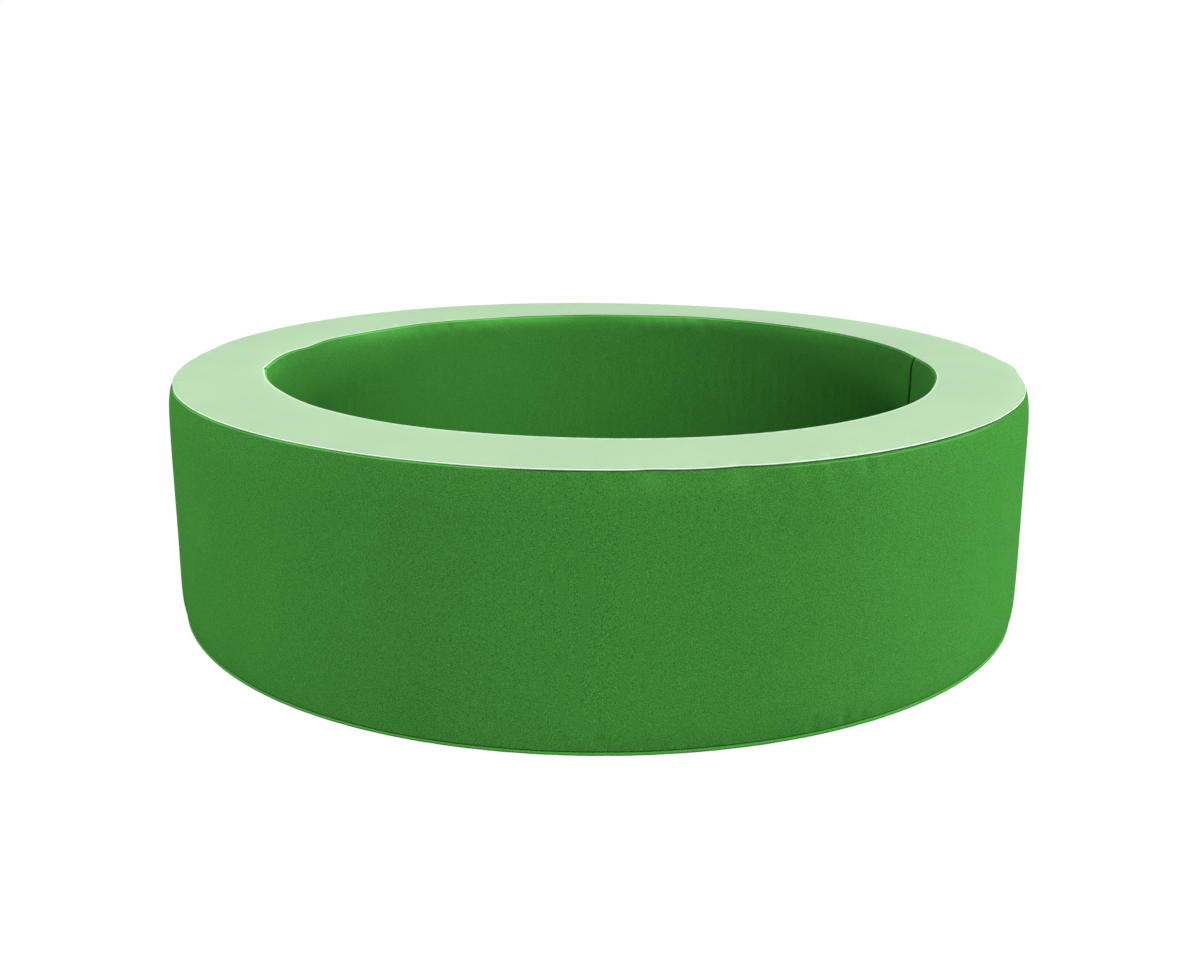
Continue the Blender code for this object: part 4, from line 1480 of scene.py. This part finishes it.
def add_patches(loops, hooks):
    """Loop patches on the ring's inner wall and hook patches on the mat, with rounded corners and a sewn edge."""
    draw = np.random.default_rng(PATCH_SEED)
    for number in range(PATCH_COUNT):
        for kind, node_name, body, material in (
            ("loop", "loop_patch", "ring", loops),
            ("hook", "hook_patch", "floor_mat", hooks),
        ):
            near, far, low, high = reach(f"{node_name}_{number + 1}")
            facing = -1 if kind == "loop" else 1
            face, back = (near, far) if kind == "loop" else (far, near)
            first = PATCH_FIRST + number * tau / PATCH_COUNT
            half_long, half_tall = face * PATCH_SPAN / 2, (high - low) / 2
            along = spaced(2 * half_long, (0, 2 * half_long), PATCH_STEP) - half_long
            share = spaced(2, (0, 2), PATCH_STEP / half_tall) - 1
            into_corner = np.clip(PATCH_CORNER - (half_long - np.abs(along)), 0, None)
            tall = half_tall - PATCH_CORNER + np.sqrt(np.clip(PATCH_CORNER**2 - into_corner**2, 0, None))
            z = share[:, None] * tall[None, :]
            to_edge = np.minimum(half_long - np.abs(along)[None, :], tall[None, :] - np.abs(z))
            depth = abs(face - back)
            crown = depth * (PATCH_EDGE + (1 - PATCH_EDGE) * smooth(to_edge / PATCH_EDGE_WIDTH))
            crown -= PATCH_STITCH_DEPTH * depth * bell((to_edge - PATCH_STITCH_INSET) / PATCH_STITCH_WIDTH)
            crown -= draw.uniform(0, NAP, crown.shape)
            angles = first + PATCH_SPAN / 2 + along / face
            middle = (low + high) / 2
            sheet = [swept(surface, angles, middle + z) for surface in (back + facing * crown, back + 0 * crown)]
            if facing < 0:
                sheet = [layer[:, ::-1] for layer in sheet]
            thing = closed_sheet(f"{kind}_pad_{number + 1}", *sheet, around=False)
            placed(thing, material, "hook_and_loop", body, f"{node_name}_{number + 1}")


def add_stage():
    """Studio floor, which glows for the camera alone and fades into its shaded colour under the ring."""
    finish = Finish("studio floor", Roughness=0.9, Specular_IOR_Level=0.0)
    colour = finish.shades(finish.noise(FLOOR_SCALE), (0.3, tinted(FLOOR_TONE, FLOOR_MOTTLE)), (0.7, FLOOR_TONE))
    finish.tree.links.new(colour, finish.shader.inputs["Base Color"])
    glow = finish.add("ShaderNodeEmission", {"Strength": FLOOR_BRIGHT}).outputs[0]
    seen = finish.add("ShaderNodeLightPath").outputs["Is Camera Ray"]
    from_axis = finish.add("ShaderNodeVectorMath", {0: finish.place}, operation="LENGTH").outputs["Value"]
    outside = finish.between(from_axis, 0.0, FLOOR_GLOW, INNER, OUTER)
    share = finish.maths("MULTIPLY", seen, outside)
    mixed = finish.add("ShaderNodeMixShader", {0: share, 1: finish.shader.outputs[0], 2: glow}).outputs[0]
    finish.tree.links.new(mixed, finish.tree.nodes["Material Output"].inputs["Surface"])
    steps = np.linspace(-FLOOR_SIZE, FLOOR_SIZE, FLOOR_POINTS)
    x, y = np.meshgrid(steps, steps, indexing="ij")
    points = np.stack([x, y, 0 * x], axis=-1)
    floor = meshed("studio_floor", points, quads(np.arange(x.size).reshape(x.shape))[:, ::-1])
    floor.data.materials.append(finish.material)


def add_room():
    """Pale room all round, which the camera sees as a white backdrop."""
    world = bpy.data.worlds.new("studio room")
    bpy.context.scene.world = world
    world.use_nodes = True
    tree = world.node_tree
    tree.nodes.clear()
    room, backdrop = (
        node_in(tree, "ShaderNodeBackground", {"Color": (1.0, 1.0, 1.0, 1.0), "Strength": light}).outputs[0]
        for light in (ROOM_LIGHT, BACKDROP_LIGHT)
    )
    seen = node_in(tree, "ShaderNodeLightPath").outputs["Is Camera Ray"]
    mixed = node_in(tree, "ShaderNodeMixShader", {0: seen, 1: room, 2: backdrop}).outputs[0]
    node_in(tree, "ShaderNodeOutputWorld", {"Surface": mixed})


def add_lights():
    """Soft lights of the studio, each from its own side."""
    for name, turn, height, size, power in SUNS:
        light = bpy.data.lights.new(name, "SUN")
        light.energy = power
        light.angle = radians(size)
        thing = bpy.data.objects.new(name, light)
        tilt = Matrix.Rotation(radians(90 - height), 4, "X")
        thing.matrix_world = Matrix.Rotation(radians(turn + 90), 4, "Z") @ tilt
        bpy.context.scene.collection.objects.link(thing)


def add_camera():
    """Camera where the photograph was taken, with its slight roll."""
    data = bpy.data.cameras.new("photograph_camera")
    data.sensor_width = SENSOR_MM
    data.lens = LENS_MM
    data.clip_end = FAR_CLIP
    camera = bpy.data.objects.new("photograph_camera", data)
    aim = Matrix.Rotation(pi / 2 - PITCH, 4, "X") @ Matrix.Rotation(ROLL, 4, "Z")
    camera.matrix_world = Matrix.Translation(EYE) @ aim
    bpy.context.scene.collection.objects.link(camera)
    bpy.context.scene.camera = camera


rim_vinyl = vinyl("light green vinyl cover", RIM_GREEN, RIM_HIGHLIGHT_GREEN, RIM_MOTTLE)
wall_vinyl = vinyl("mid green vinyl cover", WALL_GREEN, WALL_HIGHLIGHT_GREEN, WALL_MOTTLE)
foam = foam_finish()
metal = plated()
add_ring(rim_vinyl, wall_vinyl, Swell())
add_foam(foam)
add_zip(woven("zip tape weave", TAPE_GREEN, TAPE_WARP), moulded("zip tooth plastic", TEETH_GREEN), metal)
add_threads(spun("sewing thread", THREAD_GREEN))
add_mat(wall_vinyl, foam)
add_patches(napped("loop tape", BLACK, LOOP_SCALE), napped("hook tape", BLACK, HOOK_SCALE))
add_stage()
add_room()
add_lights()
add_camera()
bpy.context.scene.view_settings.view_transform = "Standard"
